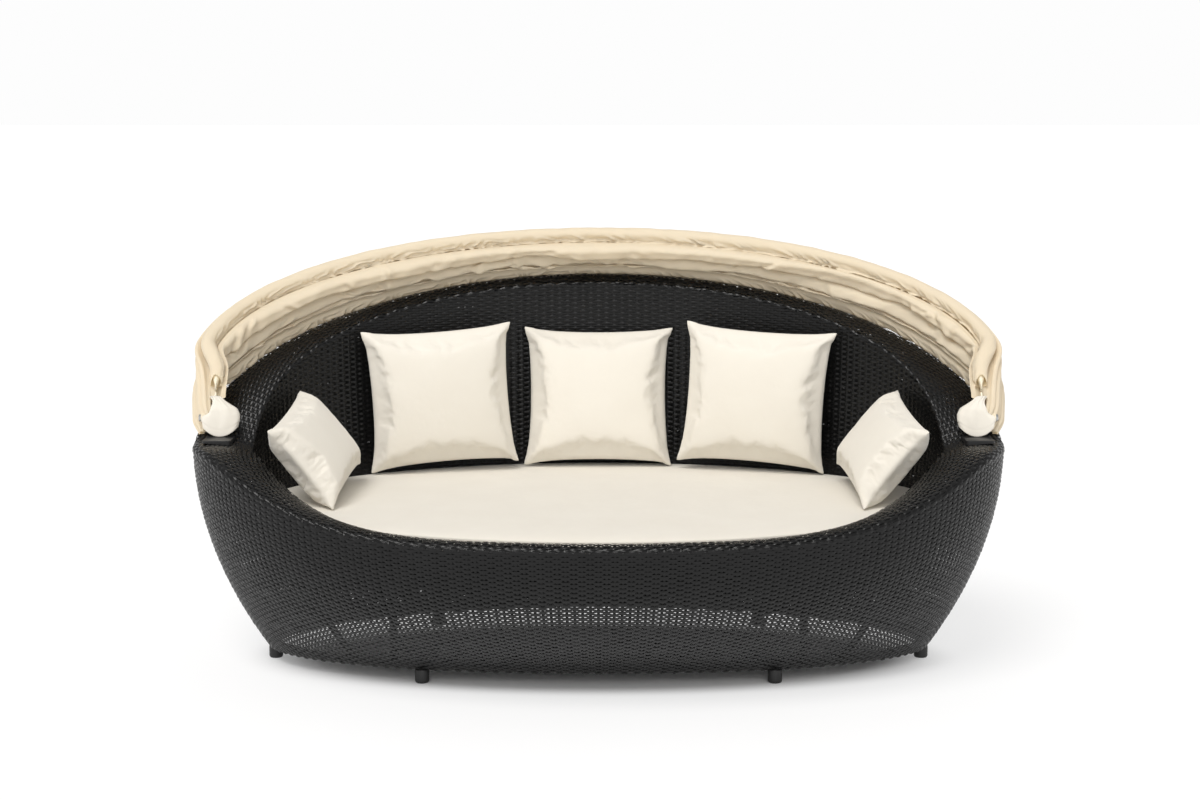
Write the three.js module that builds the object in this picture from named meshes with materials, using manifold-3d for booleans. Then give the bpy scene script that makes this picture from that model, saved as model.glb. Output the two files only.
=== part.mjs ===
// Outdoor daybed: an oval woven body on a welded tube frame, loose cushions, and a fabric
// canopy that folds back onto the rim on four hinged bows.
// Millimetres, +Z up, the front towards -Y, the origin on the floor under the middle.
import * as THREE from 'three';
import { mergeVertices } from 'three/addons/utils/BufferGeometryUtils.js';
import Module from 'manifold-3d';

const wasm = await Module();
wasm.setup();

// Gap that every seated piece keeps to the piece it rests on
const seat = 0.3;

// Woven body: rim outline, rim heights and the flare from the small base up to the rim
const bodyWidth = 2190;
const bodyDepth = 1280;
const armHeight = 606;
const backRise = 394;
const frontDip = 159;
const skinBottom = 40;
// How far the wall flares in down to its base, as shares of the rim's height
const flareSideShare = 0.317;
const flareBackShare = 0.2;
const flareFrontShare = 0.727;
const skinThickness = 6;
const stationCount = 40;
const wallLevels = 6;
const bowlLevels = 4;
// How sharply the wall curves in towards its base
const curveSidePower = 2;
const curveBackPower = 4.5;
const curveFrontPower = 2;
// Where the rim starts to climb and to dip, as shares of the half depth from the middle
const climbShare = 0.06;
const dipStartShare = 0.3;
const dipSpanShare = 0.65;

const backHeight = armHeight + backRise;
const frontHeight = armHeight - frontDip;

// Rim band: broad arms at the sides, narrow at the back and the front
const armBand = 160;
const backBand = 68;
const frontBand = 68;
const bandDrop = 15;
const bandTubeGap = 2.5;
const bandCrown = 8;
const bandShares = [0.25, 0.5, 0.75];

// Inner bowl: how far its foot stands in from its upper edge
const bowlLeanSide = 45;
const bowlLeanBack = 37;
const bowlLeanFront = 9;

// Mattress
const mattressOverFront = 8;
const mattressTop = frontHeight + mattressOverFront;
const mattressThickness = 122;
const mattressClearance = 6;
const mattressEdgeRound = 14;
const mattressDrawIn = 6;
const mattressCrown = 9;
// How far in from the edge each ring of the top lies, and how much of the crown it has
const crownInShares = [0.05, 0.16];
const crownRiseShares = [0.6, 1];

// Seat deck, slats and posts
const deckThickness = 8;
const slatWidth = 40;
const slatHeight = 20;
const slatOuterShare = 0.2466;
const slatInnerShare = 0.0822;
const postRadius = 11;

// Frame tubes, as six-sided solids
const tubeSides = 6;
const baseTubeRadius = 12.5;
const seatTubeRadius = 12.5;
const rimTubeRadius = 12.5;
const bowlTubeRadius = 9.5;
const outerRibRadius = 9.5;
const innerRibRadius = 8;
const outerRibStations = [3, 8, 12, 17, 25, 35];
const innerRibStations = [2, 6, 10, 14, 18];

// Feet
const footHeight = 38;
const footRadius = 19;
const footPadRadius = 15;
const footPadHeight = 5;
const footSides = 12;
const footShare = 0.2123;

// Canopy hinge: the pivot line runs along X over the arms
const pivotY = 5;
const pivotRise = 59;
const pivotZ = armHeight + pivotRise;
const boltRadius = 5;
const boltHeadRadius = 9;
const boltHeadLength = 6;
const boltSides = 10;
const tabThickness = 5;
const tabGap = 0.5;
const tabHalfWidth = 11;
const tabOverlap = 8;
const tabSteps = 5;
const frontTabInset = 55;
const frontTabX = bodyWidth / 2 - frontTabInset;
const bossRadius = 9;
const bossLength = 11;
const earThickness = 6;
const earHalfDepth = 14;
const bracketFootReach = 58;
const bracketFootFrontY = -92;
const bracketFootBackY = 2;
const bracketFootThickness = 4;

// Canopy bows: half an ellipse each, stacked on the rim when folded
const bowRadius = 9.5;
const bowInset = 11;
const bowHalfWidth = bodyWidth / 2 - bowInset;
const crownInset = 22;
const frontShoulder = 150;
// Share of the front bow's shoulder that each bow has: the rear one follows the rim's curve
const bowShoulderShares = [0, 0.4, 0.75, 1];
const bowPitch = 40;
const bowSides = 6;
const bowSteps = 18;
const legSteps = 4;
const legStart = 64;
const legRise = 200;
const legFlareStart = 104;
const legFlareEnd = 250;
const frontLegFlareEnd = 230;
const rearSleeveRadius = 19;
const middleSleeveRadius = 11.5;
const frontSleeveRadius = 22;
const sleeveWall = 1.6;
const sleeveStart = 112;
// How much nearer the band the flats of the rear sleeve let it lie
const rearSleeveSink = 1.9;

// Cloth gores between the bows, folded
const clothThickness = 1.6;
const clothGap = 0.75;
const innerFoldDepth = 46;
const outerFoldDepth = 34;
const foldWidth = 9;
const foldMouth = 4;
const seamFlange = 4;
// How much of its depth a fold keeps at the ends of the arch
const foldEndShare = 0.05;
// How much of the outward fold is left at the ends of each gore, from the rear one
const outerEndShares = [1, 0.6, 0.1];

// Cloth boot over each hinge
const bootSides = 10;
const bootWall = 2;
const bootHem = 28;
const bootLength = 82;
const bootHalfWidth = 40;
const bootHalfDepth = 27;
const bootInset = 28;
const bootHoleRadius = 12;
const bootNeckGap = 3.2;
// Where the boot's rings lie along its length, and how wide each is
const bootAlongShares = [0, 0.18, 0.4, 0.62, 0.82, 1];
const bootWidthShares = [0.94, 1, 1, 0.92, 0.7, 0.3];
const bootDepthShare = 0.5;

// Pillows: the widths of the back ones follow the body's width
const backPillowWidthShare = 0.201;
const backPillowHeight = 412;
const pillowThickness = 150;
const sidePillowLengthShare = 0.3516;
const sidePillowHeight = 272;
const sidePillowThickness = 130;
const pillowPinchShare = 0.07;
const pillowFullnessPower = 0.45;
const pillowCells = 8;
const backPillowGap = 47;
const backPillowLeanDegrees = 13;
const outerPillowShare = 0.1995;
const outerPillowGap = 76;
const outerPillowLeanDegrees = 6;
const outerPillowTurnShare = 0.665;
const outerPillowRollDegrees = 3;
const sidePillowInset = 253;
const sidePillowY = 2;
const sidePillowLeanDegrees = 38;
const sidePillowTurnDegrees = 82;
const sidePillowRollDegrees = 7.5;

// Colours of the real materials
const wickerBlack = new THREE.MeshStandardMaterial({ color: 0x26262a, roughness: 0.55, metalness: 0 });
const tubeBlack = new THREE.MeshStandardMaterial({ color: 0x1c1c1e, roughness: 0.4, metalness: 0.6 });
const slatBlack = new THREE.MeshStandardMaterial({ color: 0x202022, roughness: 0.5, metalness: 0.6 });
const bowCream = new THREE.MeshStandardMaterial({ color: 0xe9e0cc, roughness: 0.4, metalness: 0.2 });
const clothCream = new THREE.MeshStandardMaterial({ color: 0xefe6d2, roughness: 0.9, metalness: 0 });
const cushionCream = new THREE.MeshStandardMaterial({ color: 0xf3ecdb, roughness: 0.92, metalness: 0 });
const footBlack = new THREE.MeshStandardMaterial({ color: 0x18181a, roughness: 0.6, metalness: 0 });
const boltSteel = new THREE.MeshStandardMaterial({ color: 0x8c8c90, roughness: 0.35, metalness: 1 });

const daybed = new THREE.Group();

function piece(name, geometry, material) {
  const mesh = new THREE.Mesh(geometry, material.clone());
  mesh.name = name;
  daybed.add(mesh);
  return mesh;
}

// Small maths

const radians = THREE.MathUtils.degToRad;
const blend = (a, b, share) => a + (b - a) * share;
const clamp01 = (value) => Math.min(Math.max(value, 0), 1);
const smooth = (value) => clamp01(value) ** 2 * (3 - 2 * clamp01(value));
const range = (count) => Array.from({ length: count }, (_, i) => i);

// Line of [across, height] points, moved sideways by a distance
function offsetLine(line, distance) {
  const sides = range(line.length - 1).map((i) => {
    const across = line[i + 1][0] - line[i][0];
    const rise = line[i + 1][1] - line[i][1];
    const length = Math.hypot(across, rise);
    return [rise / length, -across / length];
  });
  return line.map(([across, height], i) => {
    const before = sides[Math.max(i - 1, 0)];
    const after = sides[Math.min(i, sides.length - 1)];
    const sum = [before[0] + after[0], before[1] + after[1]];
    const reach = 2 * distance / (sum[0] ** 2 + sum[1] ** 2);
    return [across + sum[0] * reach, height + sum[1] * reach];
  });
}

// Where a line of [across, height] points lies at a height
function acrossAt(line, height) {
  const last = line.length - 1;
  let i = 0;
  while (i < last - 1 && line[i + 1][1] < height) i += 1;
  const share = (height - line[i][1]) / (line[i + 1][1] - line[i][1]);
  return blend(line[i][0], line[i + 1][0], share);
}

// Solids from rings of points

function signedVolume(points, faces) {
  return faces.reduce((sum, [a, b, c]) => (
    sum + points[a].dot(new THREE.Vector3().crossVectors(points[b], points[c]))), 0);
}

function geometryOf(points, faces) {
  const outward = signedVolume(points, faces) > 0;
  const geometry = new THREE.BufferGeometry();
  const numbers = points.flatMap((point) => point.toArray());
  geometry.setAttribute('position', new THREE.Float32BufferAttribute(numbers, 3));
  geometry.setIndex(faces.flatMap(([a, b, c]) => (outward ? [a, b, c] : [a, c, b])));
  geometry.computeVertexNormals();
  return geometry;
}

// Skin between rings of equally many points. The ends are closed off, or joined to each other.
function loft(rings, joined = false) {
  const count = rings[0].length;
  const points = rings.flat();
  const faces = [];
  const quad = (a, b, c, d) => faces.push([a, b, c], [a, c, d]);
  const spans = joined ? rings.length : rings.length - 1;
  for (let r = 0; r < spans; r += 1) {
    const next = (r + 1) % rings.length;
    for (let i = 0; i < count; i += 1) {
      const j = (i + 1) % count;
      quad(r * count + i, r * count + j, next * count + j, next * count + i);
    }
  }
  if (!joined) {
    const last = (rings.length - 1) * count;
    for (let i = 0; i < count / 2 - 1; i += 1) {
      const far = count - 1 - i;
      quad(i, far, far - 1, i + 1);
      quad(last + i, last + i + 1, last + far - 1, last + far);
    }
  }
  return geometryOf(points, faces.filter(([a, b, c]) => a !== b && b !== c && a !== c));
}

// Stack of closed outlines, with the first and the last closed by a fan to their middle
function stack(outlines, firstMiddle, lastMiddle) {
  const count = outlines[0].length;
  const points = [...outlines.flat(), firstMiddle, lastMiddle];
  const first = points.length - 2;
  const last = points.length - 1;
  const top = (outlines.length - 1) * count;
  const faces = [];
  for (let i = 0; i < count; i += 1) {
    const j = (i + 1) % count;
    for (let r = 0; r < outlines.length - 1; r += 1) {
      const low = r * count;
      const high = low + count;
      faces.push([low + i, low + j, high + j], [low + i, high + j, high + i]);
    }
    faces.push([first, j, i], [last, top + i, top + j]);
  }
  return geometryOf(points, faces);
}

function toSolid(geometry) {
  const bare = geometry.clone();
  bare.deleteAttribute('normal');
  bare.deleteAttribute('uv');
  const merged = mergeVertices(bare);
  return new wasm.Manifold(new wasm.Mesh({
    numProp: 3,
    vertProperties: new Float32Array(merged.attributes.position.array),
    triVerts: new Uint32Array(merged.index.array),
  }));
}

function toGeometry(solid) {
  const mesh = solid.getMesh();
  const geometry = new THREE.BufferGeometry();
  geometry.setAttribute('position', new THREE.BufferAttribute(new Float32Array(mesh.vertProperties), 3));
  geometry.setIndex(new THREE.BufferAttribute(new Uint32Array(mesh.triVerts), 1));
  geometry.computeVertexNormals();
  return geometry;
}

// A piece with other pieces cut out of it
function cut(geometry, ...tools) {
  return toGeometry(tools.reduce((solid, tool) => solid.subtract(toSolid(tool)), toSolid(geometry)));
}

// Several pieces as one solid
function join(...geometries) {
  return toGeometry(geometries.map(toSolid).reduce((sum, solid) => sum.add(solid)));
}

function mirrored(geometry) {
  const copy = geometry.clone();
  copy.applyMatrix4(new THREE.Matrix4().makeScale(-1, 1, 1));
  const index = Array.from(copy.index.array);
  for (let i = 0; i < index.length; i += 3) [index[i + 1], index[i + 2]] = [index[i + 2], index[i + 1]];
  copy.setIndex(index);
  copy.computeVertexNormals();
  return copy;
}

function box(lowX, highX, lowY, highY, lowZ, highZ) {
  const geometry = new THREE.BoxGeometry(highX - lowX, highY - lowY, highZ - lowZ);
  geometry.translate((lowX + highX) / 2, (lowY + highY) / 2, (lowZ + highZ) / 2);
  return geometry;
}

// Stations round the oval rim. Each has an upright section plane, in which a point is its
// distance in from the rim's edge and its height.

function rimHeight(s) {
  const ramp = (s + climbShare) ** 2 / (4 * climbShare);
  const climb = s >= climbShare ? s : (s <= -climbShare ? 0 : ramp);
  const dip = smooth((-s - dipStartShare) / dipSpanShare);
  return armHeight + (backHeight - armHeight) * climb - (armHeight - frontHeight) * dip;
}

const stations = range(stationCount).map((i) => {
  const turn = 2 * Math.PI * i / stationCount;
  const c = Math.cos(turn);
  const s = Math.sin(turn);
  const out = new THREE.Vector2(bodyDepth * c, bodyWidth * s).normalize();
  const top = rimHeight(s);
  return { c, s, top, x: bodyWidth / 2 * c, y: bodyDepth / 2 * s, outX: out.x, outY: out.y };
});

const at = (station, inward, height) => new THREE.Vector3(
  station.x - station.outX * inward, station.y - station.outY * inward, height);

// A size that differs between the sides, the back and the front
const around = ({ c, s }, side, back, front) => side * c ** 2 + (s > 0 ? back : front) * s ** 2;

const bandWidth = (station) => around(station, armBand, backBand, frontBand);

// Closed body round the oval from one section per station
const ovalBody = (section) => loft(stations.map((station) => (
  section(station).map(([inward, height]) => at(station, inward, height)))), true);

function polygon([across, height], radius) {
  return range(tubeSides).map((i) => {
    const turn = 2 * Math.PI * i / tubeSides;
    return [across + radius * Math.cos(turn), height + radius * Math.sin(turn)];
  });
}

// Height of a six-sided tube's flat above its middle
const flatShare = Math.cos(Math.PI / tubeSides);

// Woven outer shell

function wallLine(station) {
  const flare = around(station, armHeight * flareSideShare, backHeight * flareBackShare,
    frontHeight * flareFrontShare);
  const power = around(station, curveSidePower, curveBackPower, curveFrontPower);
  return range(wallLevels + 1).map((i) => {
    const rise = i / wallLevels;
    return [flare * (1 - rise) ** power, blend(skinBottom, station.top, rise)];
  });
}

function shellSection(station) {
  const top = station.top - skinThickness - seat;
  const outer = wallLine(station);
  const inner = offsetLine(outer, skinThickness);
  outer[wallLevels] = [0, top];
  inner[wallLevels] = [skinThickness, top];
  return [...outer, ...inner.reverse()];
}

piece('outer_shell', ovalBody(shellSection), wickerBlack);

// Woven rim band, with a flat land over the shell's edge and over the bowl's edge

function bandLine(station) {
  const width = bandWidth(station);
  const crowned = bandShares.map((share) => [
    blend(skinThickness, width - skinThickness, share),
    station.top - bandDrop * share + bandCrown * 4 * share * (1 - share),
  ]);
  const low = station.top - bandDrop;
  return [[0, station.top], [skinThickness, station.top], ...crowned,
    [width - skinThickness, low], [width, low]];
}

const bandSection = (thickness, lift) => (station) => {
  const line = bandLine(station);
  const upper = line.map(([inward, height]) => [inward, height + lift]);
  const lower = line.map(([inward, height]) => [inward, height - thickness]);
  return [...lower, ...upper.reverse()];
};

piece('rim_cap', ovalBody(bandSection(skinThickness, 0)), wickerBlack);

// Lowest point of the band's underside between two distances in from its edge
function bandUnder(station, from, to) {
  const line = bandLine(station);
  const heightAt = (inward) => acrossAt(line.map(([across, height]) => [height, across]), inward);
  const between = line.filter(([inward]) => inward > from && inward < to).map(([, height]) => height);
  return Math.min(...between, heightAt(from), heightAt(to)) - skinThickness;
}

// Woven inner bowl, standing on the seat deck

const deckTop = mattressTop - mattressThickness - seat;
const deckBottom = deckTop - deckThickness;

function bowlLine(station) {
  const lean = around(station, bowlLeanSide, bowlLeanBack, bowlLeanFront);
  const top = station.top - bandDrop - skinThickness - seat;
  return range(bowlLevels + 1).map((i) => {
    const rise = i / bowlLevels;
    return [bandWidth(station) + lean * (1 - rise) ** 2, blend(deckTop + seat, top, rise)];
  });
}

function bowlSection(station) {
  const face = bowlLine(station);
  const back = offsetLine(face, -skinThickness);
  const last = face.length - 1;
  back[0] = [face[0][0] - skinThickness, face[0][1]];
  back[last] = [face[last][0] - skinThickness, face[last][1]];
  return [...back, ...face.reverse()];
}

piece('inner_bowl', ovalBody(bowlSection), wickerBlack);

// Seat deck, flush with the back of the bowl

const deckEdge = (station) => bowlLine(station)[0][0] - skinThickness;
const deckOutline = (height) => stations.map((station) => at(station, deckEdge(station), height));
const middleAt = (height) => new THREE.Vector3(0, 0, height);

piece('seat_deck', stack([deckOutline(deckBottom), deckOutline(deckTop)],
  middleAt(deckBottom), middleAt(deckTop)), wickerBlack);

// Frame rings: the middle of each tube, as [inward, height] at a station

const baseRing = (station) => {
  const height = footHeight + seat + baseTubeRadius * flatShare;
  const line = offsetLine(wallLine(station), skinThickness + seat + baseTubeRadius);
  return [acrossAt(line, height), height];
};

const rimRing = (station) => {
  const under = bandUnder(station, skinThickness, skinThickness + 3 * rimTubeRadius);
  const height = under - bandTubeGap - rimTubeRadius * flatShare;
  const line = offsetLine(wallLine(station), skinThickness + seat + rimTubeRadius);
  return [acrossAt(line, height), height];
};

const bowlRing = (station) => {
  const height = station.top - bandDrop - skinThickness - seat - bowlTubeRadius * flatShare;
  const line = offsetLine(bowlLine(station), -(skinThickness + seat + bowlTubeRadius));
  return [acrossAt(line, height), height];
};

const seatRing = (station) => [
  deckEdge(station) + seatTubeRadius / 2, deckBottom - seat - seatTubeRadius * flatShare];

const ringBody = (middle, radius) => ovalBody((station) => polygon(middle(station), radius));

// A ring made larger all round by the seat gap, to cut the tubes that end on it
const ringCutter = (middle, radius) => ringBody(middle, radius + seat / flatShare);

piece('base_ring', ringBody(baseRing, baseTubeRadius), tubeBlack);
piece('outer_rim_tube', ringBody(rimRing, rimTubeRadius), tubeBlack);
piece('inner_rim_tube', ringBody(bowlRing, bowlTubeRadius), tubeBlack);
piece('seat_ring', ringBody(seatRing, seatTubeRadius), tubeBlack);

const baseCutter = ringCutter(baseRing, baseTubeRadius);
const rimCutter = ringCutter(rimRing, rimTubeRadius);
const bowlCutter = ringCutter(bowlRing, bowlTubeRadius);
const seatCutter = ringCutter(seatRing, seatTubeRadius);

// Frames square to a path: a point on it and the two directions of its section
function framesAlong(path, up) {
  return path.map((point, i) => {
    const along = path[Math.min(i + 1, path.length - 1)].clone()
      .sub(path[Math.max(i - 1, 0)]).normalize();
    const side = new THREE.Vector3().crossVectors(along, up).normalize();
    return { point, side, rise: new THREE.Vector3().crossVectors(side, along) };
  });
}

// Round tube along a path
const tubeRings = (path, radius, sides, up) => framesAlong(path, up).map(({ point, side, rise }) => (
  range(sides).map((j) => {
    const turn = 2 * Math.PI * j / sides;
    return point.clone().addScaledVector(side, radius * Math.cos(turn))
      .addScaledVector(rise, radius * Math.sin(turn));
  })));

const tube = (path, radius, sides, up) => loft(tubeRings(path, radius, sides, up));

// Direction along the rim at a station
const alongRim = (station) => new THREE.Vector3(-station.outY, station.outX, 0);

// Outer ribs follow the shell from the base ring up to the rim tube

outerRibStations.forEach((index, i) => {
  const station = stations[index % stationCount];
  const low = baseRing(station);
  const high = rimRing(station);
  const line = offsetLine(wallLine(station), skinThickness + seat + rimTubeRadius)
    .filter(([, height]) => height > low[1] + outerRibRadius && height < high[1] - outerRibRadius);
  const path = [low, ...line, high].map(([inward, height]) => at(station, inward, height));
  const rib = tube(path, outerRibRadius, tubeSides, alongRim(station));
  piece(`outer_rib_${i + 1}`, cut(rib, baseCutter, rimCutter), tubeBlack);
});

// Inner ribs stand behind the back of the bowl, from beside the seat ring up to the inner rim
// tube

innerRibStations.forEach((index, i) => {
  const station = stations[index];
  const line = offsetLine(bowlLine(station), -(skinThickness + 2 * seat + innerRibRadius));
  const [ringAcross, ringHeight] = seatRing(station);
  const beside = ringAcross - seatTubeRadius - innerRibRadius - seat;
  const [highAcross, highHeight] = bowlRing(station);
  const high = [highAcross, highHeight - bowlTubeRadius / 2];
  const path = [[beside, ringHeight], [beside, deckTop], ...line.slice(1, -1), high]
    .map(([inward, height]) => at(station, inward, height));
  const rib = tube(path, innerRibRadius, tubeSides, alongRim(station));
  piece(`inner_rib_${i + 1}`, cut(rib, bowlCutter), tubeBlack);
});

// Seat slats run from front to back on the seat ring

function ringYAt(middle, x, back) {
  const points = stations.map((station) => at(station, ...middle(station)));
  for (let i = 0; i < stationCount; i += 1) {
    const a = points[i];
    const b = points[(i + 1) % stationCount];
    const right = (a.y + b.y > 0) === back;
    if (right && (a.x - x) * (b.x - x) <= 0 && a.x !== b.x) return blend(a.y, b.y, (x - a.x) / (b.x - a.x));
  }
  return 0;
}

const slatOuterX = bodyWidth * slatOuterShare;
const slatInnerX = bodyWidth * slatInnerShare;
const slatTop = deckBottom - seat;
const slatBottom = slatTop - slatHeight;
[-slatOuterX, -slatInnerX, slatInnerX, slatOuterX].forEach((x, i) => {
  const edges = [x - slatWidth / 2, x + slatWidth / 2];
  const front = Math.max(...edges.map((edge) => ringYAt(seatRing, edge, false)));
  const back = Math.min(...edges.map((edge) => ringYAt(seatRing, edge, true)));
  const slat = box(...edges, front, back, slatBottom, slatTop);
  piece(`seat_slat_${i + 1}`, cut(slat, seatCutter), slatBlack);
});

// Seat posts: four from the base ring up to the outer slats, and one at each side

const baseRingHeight = baseRing(stations[0])[1];
const upY = new THREE.Vector3(0, 1, 0);
const slatPosts = [[-slatOuterX, false], [slatOuterX, false], [-slatOuterX, true], [slatOuterX, true]];
slatPosts.forEach(([x, back], i) => {
  const y = ringYAt(baseRing, x, back);
  const path = [new THREE.Vector3(x, y, baseRingHeight), new THREE.Vector3(x, y, slatBottom - seat)];
  piece(`seat_post_${i + 1}`, cut(tube(path, postRadius, tubeSides, upY), baseCutter), tubeBlack);
});
[['left', stations[stationCount / 2]], ['right', stations[0]]].forEach(([side, station]) => {
  const path = [at(station, ...baseRing(station)), at(station, ...seatRing(station))];
  const post = tube(path, postRadius, tubeSides, upY);
  piece(`seat_post_${side}`, cut(post, baseCutter, seatCutter), tubeBlack);
});

// Feet under the base ring

function foot(x, y) {
  const profile = [[0, 0], [footPadRadius, 0], [footRadius, footPadHeight], [footRadius, footHeight],
    [0, footHeight]].map(([radius, height]) => new THREE.Vector2(radius, height));
  const geometry = new THREE.LatheGeometry(profile, footSides);
  geometry.rotateX(Math.PI / 2);
  geometry.translate(x, y, 0);
  return toGeometry(toSolid(geometry));
}

const footX = bodyWidth * footShare;
const sideFootX = at(stations[0], ...baseRing(stations[0])).x;
const footPlaces = {
  foot_front_left: [-footX, ringYAt(baseRing, -footX, false)],
  foot_front_right: [footX, ringYAt(baseRing, footX, false)],
  foot_back_left: [-footX, ringYAt(baseRing, -footX, true)],
  foot_back_right: [footX, ringYAt(baseRing, footX, true)],
  foot_left: [-sideFootX, 0],
  foot_right: [sideFootX, 0],
};
Object.entries(footPlaces).forEach(([name, [x, y]]) => piece(name, foot(x, y), footBlack));

// Mattress: fills the bowl, with drawn-in sides and a crowned top

function mattressRing(inset, height) {
  return stations.map((station) => {
    const wall = acrossAt(bowlLine(station), height);
    return at(station, wall + mattressClearance + inset, height);
  });
}

const mattressBottom = mattressTop - mattressThickness;
const mattressEdge = mattressTop - mattressCrown;
const mattressRim = mattressRing(mattressEdgeRound / 2, mattressEdge);
const crownShares = [0, ...crownInShares];
const crownHeights = [0, ...crownRiseShares].map((share) => mattressEdge + mattressCrown * share);

function mattress() {
  const crown = crownShares.map((share, i) => mattressRim.map((point) => (
    new THREE.Vector3(point.x * (1 - share), point.y * (1 - share), crownHeights[i]))));
  return stack([
    mattressRing(mattressEdgeRound, mattressBottom),
    mattressRing(0, mattressBottom + mattressEdgeRound),
    mattressRing(mattressDrawIn, (mattressBottom + mattressEdge) / 2),
    mattressRing(0, mattressEdge - mattressEdgeRound),
    ...crown,
  ], middleAt(mattressBottom), middleAt(mattressTop));
}

// Height of the mattress's top under a point
function mattressHeightAt(x, y) {
  const outness = Math.max(...mattressRim.map((a, i) => {
    const b = mattressRim[(i + 1) % stationCount];
    return (x * (b.y - a.y) - y * (b.x - a.x)) / (a.x * b.y - a.y * b.x);
  }));
  const line = crownShares.map((share, i) => [crownHeights[i], share]);
  return outness < 1 - crownShares[crownShares.length - 1] ? mattressTop : acrossAt(line, 1 - outness);
}

piece('mattress', mattress(), cushionCream);

// Pillows: square with knife edges drawn in between the corners, standing on the lower edge

function pillow(width, height, thickness) {
  const count = pillowCells + 1;
  const points = [];
  const index = (layer, i, j) => layer * count * count + i * count + j;
  [1, -1].forEach((face) => range(count).forEach((i) => range(count).forEach((j) => {
    const u = 2 * i / pillowCells - 1;
    const v = 2 * j / pillowCells - 1;
    const rise = ((1 - u * u) * (1 - v * v)) ** pillowFullnessPower;
    points.push(new THREE.Vector3(
      width / 2 * u * (1 - pillowPinchShare * (1 - v * v)),
      face * thickness / 2 * rise,
      height / 2 * (1 + v * (1 - pillowPinchShare * (1 - u * u)))));
  })));
  const faces = [];
  range(pillowCells).forEach((i) => range(pillowCells).forEach((j) => [0, 1].forEach((layer) => {
    const corners = [[i, j], [i + 1, j], [i + 1, j + 1], [i, j + 1]].map(([a, b]) => index(layer, a, b));
    const [a, b, c, d] = layer ? corners : corners.reverse();
    faces.push([a, b, c], [a, c, d]);
  })));
  return toGeometry(toSolid(geometryOf(points, faces)));
}

function setPillow(name, shape, roll, lean, turn, x, y) {
  const geometry = shape.clone();
  geometry.rotateY(radians(roll));
  geometry.rotateX(-radians(lean));
  geometry.rotateZ(radians(turn));
  geometry.translate(x, y, 0);
  const corners = geometry.attributes.position;
  const gaps = range(corners.count).map((i) => (
    corners.getZ(i) - mattressHeightAt(corners.getX(i), corners.getY(i))));
  geometry.translate(0, 0, seat - Math.min(...gaps));
  piece(name, geometry, cushionCream);
}

// Where the inside of the back of the bowl lies at the mattress's top
const bowlBackY = (x) => ringYAt((station) => (
  [acrossAt(bowlLine(station), mattressTop), mattressTop]), x, true);

const backPillowWidth = bodyWidth * backPillowWidthShare;
const outerPillowX = bodyWidth * outerPillowShare;
const outerPillowNearX = outerPillowX - backPillowWidth / 2;
const bowlFall = bowlBackY(outerPillowNearX) - bowlBackY(outerPillowX + backPillowWidth / 2);
const bowlTurn = THREE.MathUtils.radToDeg(Math.atan2(bowlFall, backPillowWidth));
const outerPillowTurn = bowlTurn * outerPillowTurnShare;
const backPillow = pillow(backPillowWidth, backPillowHeight, pillowThickness);
const sidePillow = pillow(bodyDepth * sidePillowLengthShare, sidePillowHeight, sidePillowThickness);
const sidePillowX = bodyWidth / 2 - armBand - sidePillowInset;
// How far a leaning back pillow's top stands behind its foot
const leanBack = (degrees) => backPillowHeight * Math.sin(radians(degrees));
const backPillowY = bodyDepth / 2 - backBand - backPillowGap - leanBack(backPillowLeanDegrees);
const outerPillowY = bowlBackY(outerPillowX) - outerPillowGap - leanBack(outerPillowLeanDegrees);
setPillow('pillow_centre', backPillow, 0, backPillowLeanDegrees, 0, 0, backPillowY);
[['left', -1], ['right', 1]].forEach(([side, way]) => {
  setPillow(`pillow_${side}`, backPillow, way * outerPillowRollDegrees, outerPillowLeanDegrees,
    -way * outerPillowTurn, way * outerPillowX, outerPillowY);
  setPillow(`side_pillow_${side}`, sidePillow, way * sidePillowRollDegrees, sidePillowLeanDegrees,
    -way * sidePillowTurnDegrees, way * sidePillowX, sidePillowY);
});

// Canopy plane: "out" points away from the pivot line along the rim's slope, "off" stands
// square on that slope

const slope = Math.atan2(backHeight - armHeight, bodyDepth / 2);
const bowReach = (bodyDepth / 2 - pivotY - crownInset) / Math.cos(slope);
const outward = new THREE.Vector3(0, Math.cos(slope), Math.sin(slope));
const offward = new THREE.Vector3(0, -Math.sin(slope), Math.cos(slope));
const canopyPoint = (x, out, off) => new THREE.Vector3(x, pivotY, pivotZ)
  .addScaledVector(outward, out).addScaledVector(offward, off);

// Height of each bow's plane off the pivot: the rear sleeve rests on the band at the back
const bandHigh = Math.max(...bandShares.map((share) => (
  4 * bandCrown * share * (1 - share) - bandDrop * share)));
const rearBowHeight = backHeight + bandHigh + rearSleeveRadius - rearSleeveSink;
const rearBowOff = (rearBowHeight - pivotZ - bowReach * Math.sin(slope)) / Math.cos(slope);
const bowOff = (bow) => rearBowOff + bowPitch * bow;
const sleeveRadii = [rearSleeveRadius, middleSleeveRadius, middleSleeveRadius, frontSleeveRadius];

// X of the flattened end of each bow, counted from the rear one: the front bow's lies inside
// the bracket's ear, the others lie outside it
const earInX = frontTabX + tabThickness / 2 + seat + bossLength;
const outerTabX = earInX + earThickness + seat + tabThickness / 2;
const frontBow = bowShoulderShares.length - 1;
const tabX = (bow) => (
  bow === frontBow ? frontTabX : outerTabX + (frontBow - 1 - bow) * (tabThickness + tabGap));

// Centre line of one bow on the right half, from the leg's start up to the crown
function bowPoint(bow, out, x) {
  const flareEnd = bow === frontBow ? frontLegFlareEnd : legFlareEnd;
  const bend = smooth((out - legFlareStart) / (flareEnd - legFlareStart));
  const off = bowOff(bow) * (1 - Math.max(1 - out / legRise, 0) ** 2);
  return canopyPoint(blend(tabX(bow), x, bend), out, off);
}

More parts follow.
